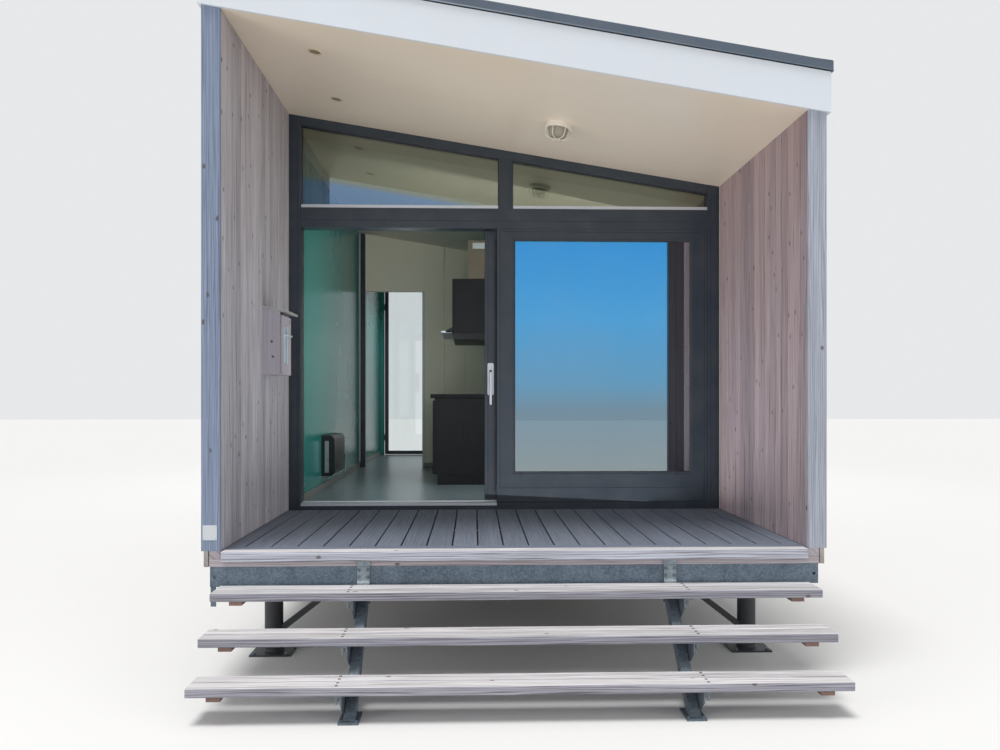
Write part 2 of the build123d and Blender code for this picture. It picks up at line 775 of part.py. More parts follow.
def add_handle(x, face_y, plate_z, plate_width, lever_run, lever_rise, out=1):
    """Add a handle: a rounded plate, a round pivot and a lever that runs (x, z) from it.

    out is 1 for a handle on a front face and -1 for one on a rear face.
    """
    pivot_z = sum(plate_z) / 2
    with BuildSketch(across(face_y)) as plate:
        with Locations((x, pivot_z)):
            SlotOverall(plate_z[1] - plate_z[0], plate_width, rotation=90)
    extrude(plate.sketch, amount=out * HANDLE_PLATE_THICKNESS)
    with BuildSketch(across(face_y)) as pivot:
        with Locations((x, pivot_z)):
            Circle(PIVOT_DIAMETER / 2)
    extrude(pivot.sketch, amount=out * LEVER_STAND_OFF)
    with BuildSketch(across(face_y - out * (LEVER_STAND_OFF - LEVER_THICKNESS))) as lever:
        with Locations((x + lever_run / 2, pivot_z + lever_rise / 2)):
            SlotOverall(
                abs(lever_run + lever_rise) + LEVER_WIDTH,
                LEVER_WIDTH,
                rotation=90 if lever_rise else 0,
            )
    extrude(lever.sketch, amount=out * LEVER_THICKNESS)


with BuildPart() as sliding_door_handle:
    add_handle(
        handle_x,
        sliding_sash_y[0],
        (handle_top_z - HANDLE_PLATE_HEIGHT, handle_top_z),
        HANDLE_PLATE_WIDTH,
        0,
        -LEVER_LENGTH,
    )

# Rear door: a glazed leaf hinged on its left edge, opening outwards
rear_opening_z = (floor_z, rear_head_z)
rear_leaf_x = (
    rear_opening_x[0] + REAR_DOOR_CLEARANCE,
    rear_opening_x[1] - REAR_DOOR_CLEARANCE,
)
rear_leaf_z = (floor_z + DOOR_CLEARANCE, rear_head_z - DOOR_CLEARANCE)
rear_leaf_y = (
    rear_y - REAR_LEAF_SETBACK - SASH_THICKNESS,
    rear_y - REAR_LEAF_SETBACK,
)
rear_hinge_x = rear_opening_x[0] + REAR_DOOR_CLEARANCE / 2
rear_hinge_y = rear_y + HINGE_RADIUS


def knuckle(x, y, radius, z_range):
    """Add an upright hinge knuckle."""
    with BuildSketch(Plane.XY.offset(z_range[0])) as round_end:
        with Locations((x, y)):
            Circle(radius)
    extrude(round_end.sketch, amount=z_range[1] - z_range[0])


with BuildPart() as rear_door_frame:
    block(rear_frame_x, rear_wall_y, (deck_z, rear_frame_top))
    block(rear_opening_x, rear_wall_y, rear_opening_z, Mode.SUBTRACT)
    for height in HINGE_HEIGHTS:
        hinge_z = (floor_z + height, floor_z + height + HINGE_LENGTH)
        knuckle(rear_hinge_x, rear_hinge_y, HINGE_RADIUS, hinge_z)
        block(
            (rear_hinge_x - 4 * HINGE_RADIUS, rear_hinge_x),
            (rear_y, rear_y + HINGE_RADIUS / 2),
            hinge_z,
        )

rear_glass_x = (rear_leaf_x[0] + REAR_STILE, rear_leaf_x[1] - REAR_STILE)
rear_glass_z = (rear_leaf_z[0] + REAR_STILE, rear_leaf_z[1] - REAR_STILE)
with BuildPart() as rear_door:
    add_sash(rear_leaf_x, rear_leaf_y, rear_leaf_z, rear_glass_x, rear_glass_z)
    for height in HINGE_HEIGHTS:
        low = floor_z + height + HINGE_LENGTH + RUNNING_CLEARANCE
        hinge_z = (low, low + HINGE_LENGTH)
        knuckle(rear_hinge_x, rear_hinge_y, HINGE_RADIUS, hinge_z)
        block(
            (rear_hinge_x, rear_hinge_x + 4 * HINGE_RADIUS),
            (rear_leaf_y[1], rear_hinge_y),
            hinge_z,
        )

with BuildPart() as rear_door_glass:
    glass_between(rear_glass_x, rear_leaf_y, rear_glass_z)

rear_handle_x = rear_leaf_x[1] - REAR_STILE / 2
rear_handle_z = (
    deck_z + REAR_HANDLE_HEIGHT - REAR_HANDLE_PLATE / 2,
    deck_z + REAR_HANDLE_HEIGHT + REAR_HANDLE_PLATE / 2,
)
with BuildPart() as rear_door_handles:
    for face_y, out in ((rear_leaf_y[0], 1), (rear_leaf_y[1], -1)):
        add_handle(
            rear_handle_x,
            face_y,
            rear_handle_z,
            REAR_HANDLE_WIDTH,
            -REAR_LEVER_LENGTH,
            0,
            out,
        )

# Cupboard on the left wing wall, with a board roof that sheds to the right
cupboard_x = (-inner_half, -inner_half + CUPBOARD_DEPTH)
cupboard_y = (
    front_y + CUPBOARD_FROM_FRONT,
    front_y + CUPBOARD_FROM_FRONT + CUPBOARD_WIDTH,
)
cupboard_z = (deck_z + CUPBOARD_BOTTOM, deck_z + CUPBOARD_BOTTOM + CUPBOARD_HEIGHT)
cupboard_door_x = (
    cupboard_x[1] + CUPBOARD_DOOR_GAP,
    cupboard_x[1] + CUPBOARD_DOOR_GAP + CUPBOARD_DOOR_THICKNESS,
)
cupboard_hinge_x = cupboard_door_x[1]
cupboard_hinge_y = cupboard_y[1] + CUPBOARD_HINGE_RADIUS
cupboard_hinge_heights = (
    cupboard_z[0] + CUPBOARD_HINGE_LENGTH,
    cupboard_z[1] - 3 * CUPBOARD_HINGE_LENGTH,
)
with BuildPart() as wall_cupboard:
    block(cupboard_x, cupboard_y, cupboard_z)
    block(
        (cupboard_x[0] + CUPBOARD_BOARD, cupboard_x[1]),
        (cupboard_y[0] + CUPBOARD_BOARD, cupboard_y[1] - CUPBOARD_BOARD),
        (cupboard_z[0] + CUPBOARD_BOARD, cupboard_z[1] - CUPBOARD_BOARD),
        Mode.SUBTRACT,
    )
    roof_end_x = cupboard_door_x[1] + CUPBOARD_ROOF_OVERHANG
    roof_board = (
        (cupboard_x[0], cupboard_z[1]),
        (cupboard_x[1], cupboard_z[1]),
        (roof_end_x, cupboard_z[1] + CUPBOARD_DOOR_GAP),
        (roof_end_x, cupboard_z[1] + CUPBOARD_DOOR_GAP + CUPBOARD_BOARD),
        (cupboard_x[0], cupboard_z[1] + CUPBOARD_DOOR_GAP + CUPBOARD_BOARD + CUPBOARD_ROOF_FALL),
    )
    prism_across(roof_board, (cupboard_y[0] - CUPBOARD_BOARD, cupboard_y[1] + CUPBOARD_BOARD))
    for low in cupboard_hinge_heights:
        hinge_z = (low, low + CUPBOARD_HINGE_LENGTH)
        knuckle(cupboard_hinge_x, cupboard_hinge_y, CUPBOARD_HINGE_RADIUS, hinge_z)
        block(
            (cupboard_x[1] - CUPBOARD_HINGE_LENGTH, cupboard_hinge_x),
            (cupboard_y[1], cupboard_hinge_y),
            hinge_z,
        )

with BuildPart() as cupboard_door:
    door_y = (cupboard_y[0], cupboard_y[1] - CUPBOARD_DOOR_GAP)
    door_z = (cupboard_z[0], cupboard_z[1] - CUPBOARD_DOOR_GAP)
    block(cupboard_door_x, door_y, door_z)
    for low in cupboard_hinge_heights:
        start = low + CUPBOARD_HINGE_LENGTH + RUNNING_CLEARANCE
        hinge_z = (start, start + CUPBOARD_HINGE_LENGTH)
        knuckle(cupboard_hinge_x, cupboard_hinge_y, CUPBOARD_HINGE_RADIUS, hinge_z)
        block(
            (cupboard_door_x[1], cupboard_hinge_x + CUPBOARD_HINGE_RADIUS),
            (door_y[1] - CUPBOARD_HINGE_LENGTH, cupboard_hinge_y),
            hinge_z,
        )

lock_y = cupboard_y[0] + LOCK_PLATE_WIDTH
lock_x = cupboard_door_x[1]
lock_z = (cupboard_z[0] + cupboard_z[1]) / 2
lock_pivot_z = lock_z + LOCK_PLATE_HEIGHT / 4
with BuildPart() as cupboard_lock:
    with BuildSketch(along(lock_x)) as lock_plate:
        with Locations((lock_y, lock_z)):
            SlotOverall(LOCK_PLATE_HEIGHT, LOCK_PLATE_WIDTH, rotation=90)
    extrude(lock_plate.sketch, amount=LOCK_PLATE_THICKNESS)
    lever_x = lock_x + LOCK_LEVER_STAND_OFF
    with BuildSketch(along(lock_x)) as lever_stem:
        with Locations((lock_y, lock_pivot_z)):
            Circle(LOCK_LEVER_DIAMETER / 2)
    extrude(lever_stem.sketch, amount=LOCK_LEVER_STAND_OFF)
    with BuildSketch(across(lock_y - LOCK_LEVER_DIAMETER / 2)) as lever_bar:
        with Locations((lever_x - LOCK_LEVER_DIAMETER / 2, lock_pivot_z)):
            Circle(LOCK_LEVER_DIAMETER / 2)
    extrude(lever_bar.sketch, amount=-LOCK_LEVER_LENGTH)

# Lamps: a caged bulkhead light and two spots, square to the sloping soffit
lamp_plane = hang_from_soffit(LAMP_X, LAMP_FROM_FRONT)
lamp_axis = Axis(lamp_plane.origin, lamp_plane.z_dir)
turning_axis = Axis((0, 0, 0), lamp_plane.z_dir)
lamp_section = Plane(
    origin=lamp_plane.origin, x_dir=lamp_plane.x_dir, z_dir=-lamp_plane.y_dir
)
glass_radius = LAMP_GLASS_DIAMETER / 2
cage_radius = LAMP_CAGE_DIAMETER / 2


def cap_profile(radius, height):
    """Points of a faceted cap, from its crown on the lamp's axis down to its upright rim."""
    curve = [
        (radius * across_share, LAMP_BASE_HEIGHT + height * height_share)
        for across_share, height_share in LAMP_CAP_SHAPE
    ]
    return [*curve, (radius, LAMP_BASE_HEIGHT + LAMP_RIM), (radius, LAMP_BASE_HEIGHT)]


with BuildPart() as bulkhead_lamp:
    outer_cap = cap_profile(cage_radius, LAMP_CAGE_HEIGHT)
    inner_cap = cap_profile(cage_radius - LAMP_CAGE_BAR, LAMP_CAGE_HEIGHT - LAMP_CAGE_BAR)
    for hoop in range(LAMP_CAGE_HOOPS):
        hoop_turn = hoop * 180 / LAMP_CAGE_HOOPS
        hoop_plane = Plane(
            origin=lamp_plane.origin,
            x_dir=lamp_plane.x_dir.rotate(turning_axis, hoop_turn),
            z_dir=lamp_plane.y_dir.rotate(turning_axis, hoop_turn + 180),
        )
        with BuildSketch(hoop_plane) as cage_hoop:
            with BuildLine():
                Polyline(*outer_cap, *reversed(inner_cap), close=True)
            make_face()
            mirror(about=Plane.YZ)
        extrude(cage_hoop.sketch, amount=LAMP_CAGE_BAR / 2, both=True)
    with BuildSketch(lamp_section) as base_outline:
        with BuildLine():
            Polyline(
                (0, 0),
                (LAMP_DIAMETER / 2, 0),
                (LAMP_DIAMETER / 2, LAMP_LIP),
                (cage_radius + LAMP_CAGE_BAR, LAMP_BASE_HEIGHT),
                (0, LAMP_BASE_HEIGHT),
                close=True,
            )
        make_face()
    revolve(base_outline.sketch, axis=lamp_axis)

with BuildPart() as bulkhead_lamp_glass:
    with BuildSketch(lamp_section) as dome_outline:
        with BuildLine():
            dome = cap_profile(glass_radius, LAMP_GLASS_HEIGHT)
            Polyline(*dome, (0, LAMP_BASE_HEIGHT), close=True)
        make_face()
    revolve(dome_outline.sketch, axis=lamp_axis)

with BuildPart() as soffit_spots:
    for from_front in SPOTS_FROM_FRONT:
        with BuildSketch(hang_from_soffit(SPOT_FROM_WALL - inner_half, from_front)):
            Circle(SPOT_DIAMETER / 2)
        extrude(amount=SPOT_HEIGHT)

# Rooms behind the glass, as far as they show through the open door
lining_x = (-inner_half, -inner_half + LINING_THICKNESS)
partition_range = (partition_y, partition_y + PARTITION_THICKNESS)
passage_x = (lining_x[1], lining_x[1] + PASSAGE_WIDTH)
passage_top = floor_z + PASSAGE_HEAD

room_top = -ROOM_CEILING_DROP

with BuildPart() as left_wall_lining:
    prism_across(
        under_roof(lining_x, floor_z, room_top), (frame_back_y, rear_y - WALL_THICKNESS)
    )

with BuildPart() as partition:
    prism_across(under_roof((passage_x[1], inner_half), floor_z, room_top), partition_range)

with BuildPart() as partition_post:
    prism_across(
        under_roof((passage_x[0], passage_x[0] + PASSAGE_POST), floor_z, room_top),
        partition_range,
    )

with BuildPart() as partition_over_passage:
    prism_across(
        under_roof((passage_x[0] + PASSAGE_POST, passage_x[1]), passage_top, room_top),
        partition_range,
    )

kitchen_y = (front_y + KITCHEN_FROM_FRONT, partition_y - KITCHEN_BEFORE_PARTITION)
kitchen_wall_x = (KITCHEN_WALL_X, KITCHEN_WALL_X + KITCHEN_WALL_THICKNESS)
kitchen_front_x = KITCHEN_WALL_X - KITCHEN_WIDTH
worktop_z = (floor_z + KITCHEN_HEIGHT - WORKTOP_THICKNESS, floor_z + KITCHEN_HEIGHT)
with BuildPart() as kitchen_wall:
    prism_across(under_roof(kitchen_wall_x, floor_z, room_top), (kitchen_y[0], partition_y))

with BuildPart() as kitchen_base:
    base_outline = (
        (KITCHEN_WALL_X, floor_z),
        (KITCHEN_WALL_X, worktop_z[1]),
        (kitchen_front_x, worktop_z[1]),
        (kitchen_front_x, worktop_z[0]),
        (kitchen_front_x + WORKTOP_OVERHANG, worktop_z[0]),
        (kitchen_front_x + WORKTOP_OVERHANG, floor_z + TOE_HEIGHT),
        (kitchen_front_x + WORKTOP_OVERHANG + TOE_DEPTH, floor_z + TOE_HEIGHT),
        (kitchen_front_x + WORKTOP_OVERHANG + TOE_DEPTH, floor_z),
    )
    prism_across(base_outline, kitchen_y)

cabinet_x = (KITCHEN_WALL_X - WALL_CABINET_DEPTH, KITCHEN_WALL_X)
cabinet_y = (kitchen_y[0], kitchen_y[0] + WALL_CABINET_LENGTH)
cabinet_z = (floor_z + WALL_CABINET_BOTTOM, floor_z + WALL_CABINET_BOTTOM + WALL_CABINET_HEIGHT)
with BuildPart() as wall_cabinet:
    block(cabinet_x, cabinet_y, cabinet_z)
    block(
        (KITCHEN_WALL_X - DUCT_BOX_DEPTH, KITCHEN_WALL_X),
        (cabinet_y[0], cabinet_y[0] + DUCT_BOX_LENGTH),
        (cabinet_z[1], cabinet_z[1] + DUCT_BOX_HEIGHT),
    )

with BuildPart() as cooker_hood:
    hood_nose_x = cabinet_x[0] - HOOD_PROJECTION
    hood_outline = (
        (KITCHEN_WALL_X, cabinet_z[0] - HOOD_THICKNESS),
        (KITCHEN_WALL_X, cabinet_z[0]),
        (cabinet_x[0], cabinet_z[0]),
        (cabinet_x[0], cabinet_z[0] + VISOR_HEIGHT),
        (hood_nose_x, cabinet_z[0] - HOOD_THICKNESS + VISOR_NOSE),
        (hood_nose_x, cabinet_z[0] - HOOD_THICKNESS),
    )
    prism_across(hood_outline, cabinet_y)

with BuildPart() as wall_heater:
    heater_y = front_y + HEATER_FROM_FRONT
    heater_z = (floor_z + HEATER_BOTTOM, floor_z + HEATER_BOTTOM + HEATER_HEIGHT)
    heater_x = (lining_x[1], lining_x[1] + HEATER_DEPTH)
    block(heater_x, (heater_y, heater_y + HEATER_LENGTH), heater_z)
    outer_edges = wall_heater.edges().filter_by(Axis.Y).group_by(Axis.X)[-1]
    fillet(outer_edges, radius=HEATER_ROUNDING)

# Every piece is written under its own name
pieces = {
    "chassis_front_beam": chassis_front_beam,
    "chassis_rear_beam": chassis_rear_beam,
    "chassis_rails": chassis_rails,
    "chassis_cross_members": chassis_cross_members,
    "trestle_front": trestle_front,
    "trestle_middle": trestle_middle,
    "trestle_rear": trestle_rear,
    "front_plinth_beam": front_plinth_beam,
    "deck_edge_board": deck_edge_board,
    "side_skirts": side_skirts,
    "veranda_joists": veranda_joists,
    "veranda_deck": veranda_deck,
    "floor_platform": floor_platform,
    "floor_finish": floor_finish,
    "stair_tread_upper": stair_tread_upper,
    "stair_tread_middle": stair_tread_middle,
    "stair_tread_lower": stair_tread_lower,
    "stair_stringer_left": stair_stringer_left,
    "stair_stringer_right": stair_stringer_right,
    "wing_wall_left": wing_wall_left,
    "wing_wall_right": wing_wall_right,
    "left_wall": left_wall,
    "right_wall": right_wall,
    "rear_wall": rear_wall,
    "rear_wall_over_door": rear_wall_over_door,
    "veranda_soffit": veranda_soffit,
    "interior_ceiling": interior_ceiling,
    "roof_panel": roof_panel,
    "fascia_boards": fascia_boards,
    "roof_edge_trim": roof_edge_trim,
    "frame_jambs": frame_jambs,
    "frame_head": frame_head,
    "frame_transom": frame_transom,
    "frame_mullion": frame_mullion,
    "door_sill": door_sill,
    "transom_glass": transom_glass,
    "fixed_pane_frame": fixed_pane_frame,
    "fixed_pane_glass": fixed_pane_glass,
    "sliding_door": sliding_door,
    "sliding_door_glass": sliding_door_glass,
    "sliding_door_handle": sliding_door_handle,
    "rear_door_frame": rear_door_frame,
    "rear_door": rear_door,
    "rear_door_glass": rear_door_glass,
    "rear_door_handles": rear_door_handles,
    "wall_cupboard": wall_cupboard,
    "cupboard_door": cupboard_door,
    "cupboard_lock": cupboard_lock,
    "bulkhead_lamp": bulkhead_lamp,
    "bulkhead_lamp_glass": bulkhead_lamp_glass,
    "soffit_spots": soffit_spots,
    "left_wall_lining": left_wall_lining,
    "partition": partition,
    "partition_post": partition_post,
    "partition_over_passage": partition_over_passage,
    "kitchen_wall": kitchen_wall,
    "kitchen_base": kitchen_base,
    "wall_cabinet": wall_cabinet,
    "cooker_hood": cooker_hood,
    "wall_heater": wall_heater,
}
os.makedirs("parts", exist_ok=True)
for name, piece in pieces.items():
    piece.part.label = name
    export_step(piece.part, f"parts/{name}.step")
print(f"{len(pieces)} pieces, front plane at y = {front_y} mm")
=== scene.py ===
"""Looks of a beach hut: weathered larch boards, glazed front, steel chassis, steps and lamps."""
import logging
import math
from abc import ABC, abstractmethod
from dataclasses import dataclass, field, replace
from enum import Enum
from typing import Iterable, Sequence

import bmesh
import bpy
import numpy as np
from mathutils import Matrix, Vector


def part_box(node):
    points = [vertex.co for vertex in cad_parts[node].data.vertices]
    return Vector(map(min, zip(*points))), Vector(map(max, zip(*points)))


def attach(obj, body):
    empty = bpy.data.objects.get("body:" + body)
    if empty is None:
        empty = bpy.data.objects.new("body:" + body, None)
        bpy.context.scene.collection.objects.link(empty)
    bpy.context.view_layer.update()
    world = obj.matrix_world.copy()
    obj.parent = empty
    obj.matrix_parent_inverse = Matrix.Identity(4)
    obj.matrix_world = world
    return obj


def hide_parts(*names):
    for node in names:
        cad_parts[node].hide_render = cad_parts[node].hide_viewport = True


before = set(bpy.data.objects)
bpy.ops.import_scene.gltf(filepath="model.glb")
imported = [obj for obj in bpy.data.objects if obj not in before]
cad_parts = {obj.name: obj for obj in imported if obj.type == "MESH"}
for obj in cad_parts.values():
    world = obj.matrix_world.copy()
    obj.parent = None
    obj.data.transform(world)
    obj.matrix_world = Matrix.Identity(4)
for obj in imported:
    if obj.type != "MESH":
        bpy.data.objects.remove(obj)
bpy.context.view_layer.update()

LOG = logging.getLogger("beach_hut")
Array = np.ndarray
Colour = tuple[float, float, float]
X, Y, Z = np.eye(3)


class Body(Enum):
    """Bodies of the hut that pieces move with."""

    HUT = "hut"
    SLIDING_LEAF = "sliding_leaf"
    REAR_LEAF = "rear_leaf"
    CUPBOARD_LEAF = "cupboard_leaf"


class Lie(Enum):
    """How the grain or the streaks of a finish lie on a piece."""

    ALONG_PIECE = "uv"
    ALONG_X = "x"
    ALONG_Y = "y"
    ALONG_Z = "z"


def rgb(red: int, green: int, blue: int) -> Colour:
    """Turn display values from 0 to 255 into linear light.

    Args:
        red: Red as seen on a display.
        green: Green as seen on a display.
        blue: Blue as seen on a display.

    Returns:
        The same colour in linear light, by the power law 2.2.
    """
    return tuple((value / 255.0) ** 2.2 for value in (red, green, blue))


# Meshes as arrays


@dataclass
class Shell:
    """One or more closed surfaces, kept as arrays until they become a mesh."""

    points: Array
    loops: Array
    counts: Array
    uv: Array
    tone: Array

    @staticmethod
    def join(shells: Sequence["Shell"]) -> "Shell":
        """Join shells into one by shifting each one's vertex numbers past the last.

        Args:
            shells: The shells to join.

        Returns:
            One shell that holds them all.
        """
        sizes = [len(shell.points) for shell in shells]
        starts = np.concatenate([[0], np.cumsum(sizes)[:-1]]).astype(int)
        return Shell(
            np.concatenate([shell.points for shell in shells]),
            np.concatenate([shell.loops + start for shell, start in zip(shells, starts)]),
            np.concatenate([shell.counts for shell in shells]),
            np.concatenate([shell.uv for shell in shells]),
            np.concatenate([shell.tone for shell in shells]),
        )

    def placed(self, origins: Array) -> "Shell":
        """Repeat the shell at several points, as origin plus local point.

        Args:
            origins: Rows of x, y and z, one for each copy.

        Returns:
            One shell with all the copies.
        """
        origins = np.atleast_2d(np.asarray(origins, float))
        copies, size = len(origins), len(self.points)
        points = (origins[:, None, :] + self.points[None]).reshape(-1, 3)
        loops = (self.loops[None] + size * np.arange(copies)[:, None]).ravel()
        shift = np.repeat(np.arange(copies) * 0.37, size)[:, None]
        return Shell(
            points,
            loops,
            np.tile(self.counts, copies),
            np.tile(self.uv, (copies, 1)) + shift,
            np.tile(self.tone, copies),
        )


def grid_faces(rows: int, columns: int, wrap_rows: bool = False, wrap_columns: bool = True) -> Array:
    """Number the quads of a grid of points, row by row.

    Args:
        rows: Points along the first parameter.
        columns: Points along the second parameter.
        wrap_rows: Whether the last row joins the first.
        wrap_columns: Whether the last column joins the first.

    Returns:
        Four vertex numbers for each quad: (r, c), (r, c + 1), (r + 1, c + 1), (r + 1, c).
    """
    row = np.arange(rows if wrap_rows else rows - 1)[:, None]
    column = np.arange(columns if wrap_columns else columns - 1)[None, :]
    next_row, next_column = (row + 1) % rows, (column + 1) % columns
    corners = (
        row * columns + column,
        row * columns + next_column,
        next_row * columns + next_column,
        next_row * columns + column,
    )
    return np.stack(np.broadcast_arrays(*corners), -1).reshape(-1, 4)


def carried(
    outline: Array,
    origins: Array,
    a_axis: Array,
    b_axis: Array,
    closed: bool = False,
    tone: float = 0.5,
    shift: float = 0.0,
) -> Shell:
    """Carry an outline along a path: point = origin(s) + a * a_axis(s) + b * b_axis(s).

    Args:
        outline: Closed loop of (a, b) points in metres.
        origins: Points of the path.
        a_axis: Direction of a, one for all or one for each point of the path.
        b_axis: Direction of b, one for all or one for each point of the path.
        closed: Whether the path returns to its start. An open one gets an end cap at each end.
        tone: Shade of the piece within its finish, from 0 to 1.
        shift: Offset of the pattern, so that neighbours don't repeat.

    Returns:
        The closed surface, with u along the path and v = a + b across it.
    """
    outline, origins = np.asarray(outline, float), np.asarray(origins, float)
    stations, size = len(origins), len(outline)
    a_rows = np.broadcast_to(np.asarray(a_axis, float), (stations, 3))
    b_rows = np.broadcast_to(np.asarray(b_axis, float), (stations, 3))
    points = (
        origins[:, None, :]
        + outline[None, :, 0:1] * a_rows[:, None, :]
        + outline[None, :, 1:2] * b_rows[:, None, :]
    ).reshape(-1, 3)
    steps = np.linalg.norm(np.diff(origins, axis=0), axis=1)
    along = np.concatenate([[0.0], np.cumsum(steps)])
    across = outline.sum(1)
    uv = np.stack(np.broadcast_arrays(along[:, None] + shift, across[None, :] + shift), -1)
    sides = grid_faces(stations, size, wrap_rows=closed)
    loops, counts = [sides.ravel()], [np.full(len(sides), 4)]
    if not closed:
        ring = np.arange(size)
        loops += [ring[::-1], ring + (stations - 1) * size]
        counts.append(np.full(2, size))
    return Shell(
        points,
        np.concatenate(loops),
        np.concatenate(counts),
        uv.reshape(-1, 2),
        np.full(len(points), tone),
    )


def rounded(width: float, thickness: float, radius: float = 0.002) -> Array:
    """Outline of a bar with its corners rounded by three points each, from (0, 0) up.

    Each corner is its centre plus radius times (cos t, sin t) over a quarter turn.

    Args:
        width: Size along a.
        thickness: Size along b.
        radius: Radius of each corner.

    Returns:
        Twelve (a, b) points.
    """
    radius = min(radius, 0.49 * width, 0.49 * thickness)
    turns = np.radians([[180, 225, 270], [270, 315, 360], [0, 45, 90], [90, 135, 180]])
    centres = np.array(
        [[radius, radius], [width - radius, radius], [width - radius, thickness - radius], [radius, thickness - radius]]
    )
    arc = np.stack([np.cos(turns), np.sin(turns)], -1) * radius
    return (centres[:, None, :] + arc).reshape(-1, 2)


def boards(
    starts: Array,
    lengths: Array | float,
    widths: Array | float,
    thickness: float,
    along: Array,
    across: Array,
    depth: Array,
    radius: float = 0.003,
    seed: int = 1,
    lean: float = 0.0,
    end: float = 0.0015,
) -> Shell:
    """Lay many boards at once, each a rounded outline carried along a straight line.

    Point = start + s * along + a * across + b * depth, where the outline shrinks by the
    bevel at both ends. Each board gets a shade and a shift of its own from a seeded generator.

    Args:
        starts: Lowest corner of each board.
        lengths: Length of each board.
        widths: Width of each board.
        thickness: Thickness of all boards.
        along: Unit direction of the length.
        across: Unit direction of the width.
        depth: Unit direction of the thickness.
        radius: Radius of the long edges.
        seed: Seed of the shades and shifts.
        lean: Fall of the upper ends for each metre towards +X, as under a sloping roof.
        end: Size of the bevel at each end.

    Returns:
        One shell with all the boards.
    """
    starts = np.atleast_2d(np.asarray(starts, float))
    number = len(starts)
    lengths = np.broadcast_to(np.asarray(lengths, float), (number,))
    widths = np.broadcast_to(np.asarray(widths, float), (number,))
    base = rounded(1.0, thickness, radius)
    nearer = np.where(base[:, 0] < 0.5, base[:, 0], base[:, 0] - 1.0)
    a = np.where(base[:, 0] < 0.5, nearer[None], widths[:, None] + nearer[None])
    b = base[:, 1]
    s = np.stack([0 * lengths, end + 0 * lengths, lengths - end, lengths], 1)
    shrink = np.array([1.0, 0.0, 0.0, 1.0]) * end
    half = widths[:, None, None] / 2
    a_all = half + (a[:, None, :] - half) * (1 - shrink[None, :, None] / half)
    b_all = thickness / 2 + (b - thickness / 2) * (1 - 2 * shrink[:, None] / thickness)
    points = (
        starts[:, None, None, :]
        + s[:, :, None, None] * np.asarray(along)
        + a_all[..., None] * np.asarray(across)
        + b_all[None, ..., None] * np.asarray(depth)
    )
    points[:, 2:, :, 2] -= lean * (points[:, 2:, :, 0] - starts[:, None, None, 0])
    random = np.random.default_rng(seed)
    tones, shifts = random.random(number), random.random((number, 2)) * 17.0
    u = s[:, :, None] + shifts[:, None, None, 0]
    v = (a[:, None, :] + b[None, None, :]) + shifts[:, None, None, 1]
    uv = np.stack(np.broadcast_arrays(u, v), -1).reshape(-1, 2)
    size = len(b)
    sides = grid_faces(4, size).ravel()
    ring = np.arange(size)
    one = np.concatenate([sides, ring[::-1], ring + 3 * size])
    loops = (one[None] + 4 * size * np.arange(number)[:, None]).ravel()
    counts = np.tile(np.concatenate([np.full(3 * size, 4), [size, size]]), number)
    return Shell(points.reshape(-1, 3), loops, counts, uv, np.repeat(tones, 4 * size))


def block(low: Sequence[float], high: Sequence[float], radius: float = 0.002, tone: float = 0.5) -> Shell:
    """Make one bar between two corners, with its long edges and its ends rounded.

    Args:
        low: Lowest corner.
        high: Highest corner.
        radius: Radius of the edges.
        tone: Shade of the bar within its finish.

    Returns:
        The closed surface, with its length along its longest side.
    """
    low, size = np.asarray(low, float), np.asarray(high, float) - np.asarray(low, float)
    order = np.argsort(-size)
    axes = np.eye(3)[order]
    radius = min(radius, 0.3 * float(size[order[2]]))
    shell = boards(low, size[order[0]], size[order[1]], float(size[order[2]]), *axes, radius=radius, seed=int(abs(low.sum()) * 997) + 3)
    shell.tone[:] = tone
    return shell


def miters(corners: Array, normal: Array) -> Array:
    """Outward offsets at the corners of a flat polygon.

    Each offset is the sum of the two edges' outward normals over one plus their dot product, so
    that a step of one metre along it moves both edges out by one metre.

    Args:
        corners: Corners of the polygon in order.
        normal: Unit normal of its plane.

    Returns:
        One vector for each corner.
    """
    edges = np.roll(corners, -1, 0) - corners
    edges /= np.linalg.norm(edges, axis=1)[:, None]
    out = np.cross(edges, normal)
    middle = corners.mean(0)
    if np.sum(out * (corners - middle)) < 0:
        out = -out
    before = np.roll(out, 1, 0)
    return (before + out) / (1 + np.sum(before * out, 1))[:, None]


def framed(inner: Array, outer: Array, normal: Array, outline: Array, tone: float = 0.5) -> Shell:
    """Carry an outline round a frame with mitred corners.

    Point = inner + t * (outer - inner) + d * offset + b * normal at each corner.

    Args:
        inner: Corners of the opening.
        outer: Corners of the frame's outside, in the same order.
        normal: Unit direction of the depth b.
        outline: Closed loop of (t, d, b): share of the width, distance outwards and depth.
        tone: Shade of the frame within its finish.

    Returns:
        The closed surface.
    """
    inner, outer, outline = (np.asarray(value, float) for value in (inner, outer, outline))
    offsets = miters(inner, normal)
    points = (
        inner[:, None, :]
        + outline[None, :, 0:1] * (outer - inner)[:, None, :]
        + outline[None, :, 1:2] * offsets[:, None, :]
        + outline[None, :, 2:3] * np.asarray(normal, float)
    ).reshape(-1, 3)
    faces = grid_faces(len(inner), len(outline), wrap_rows=True)
    uv = points[:, :2] + points[:, 2:]
    return Shell(points, faces.ravel(), np.full(len(faces), 4), uv, np.full(len(points), tone))


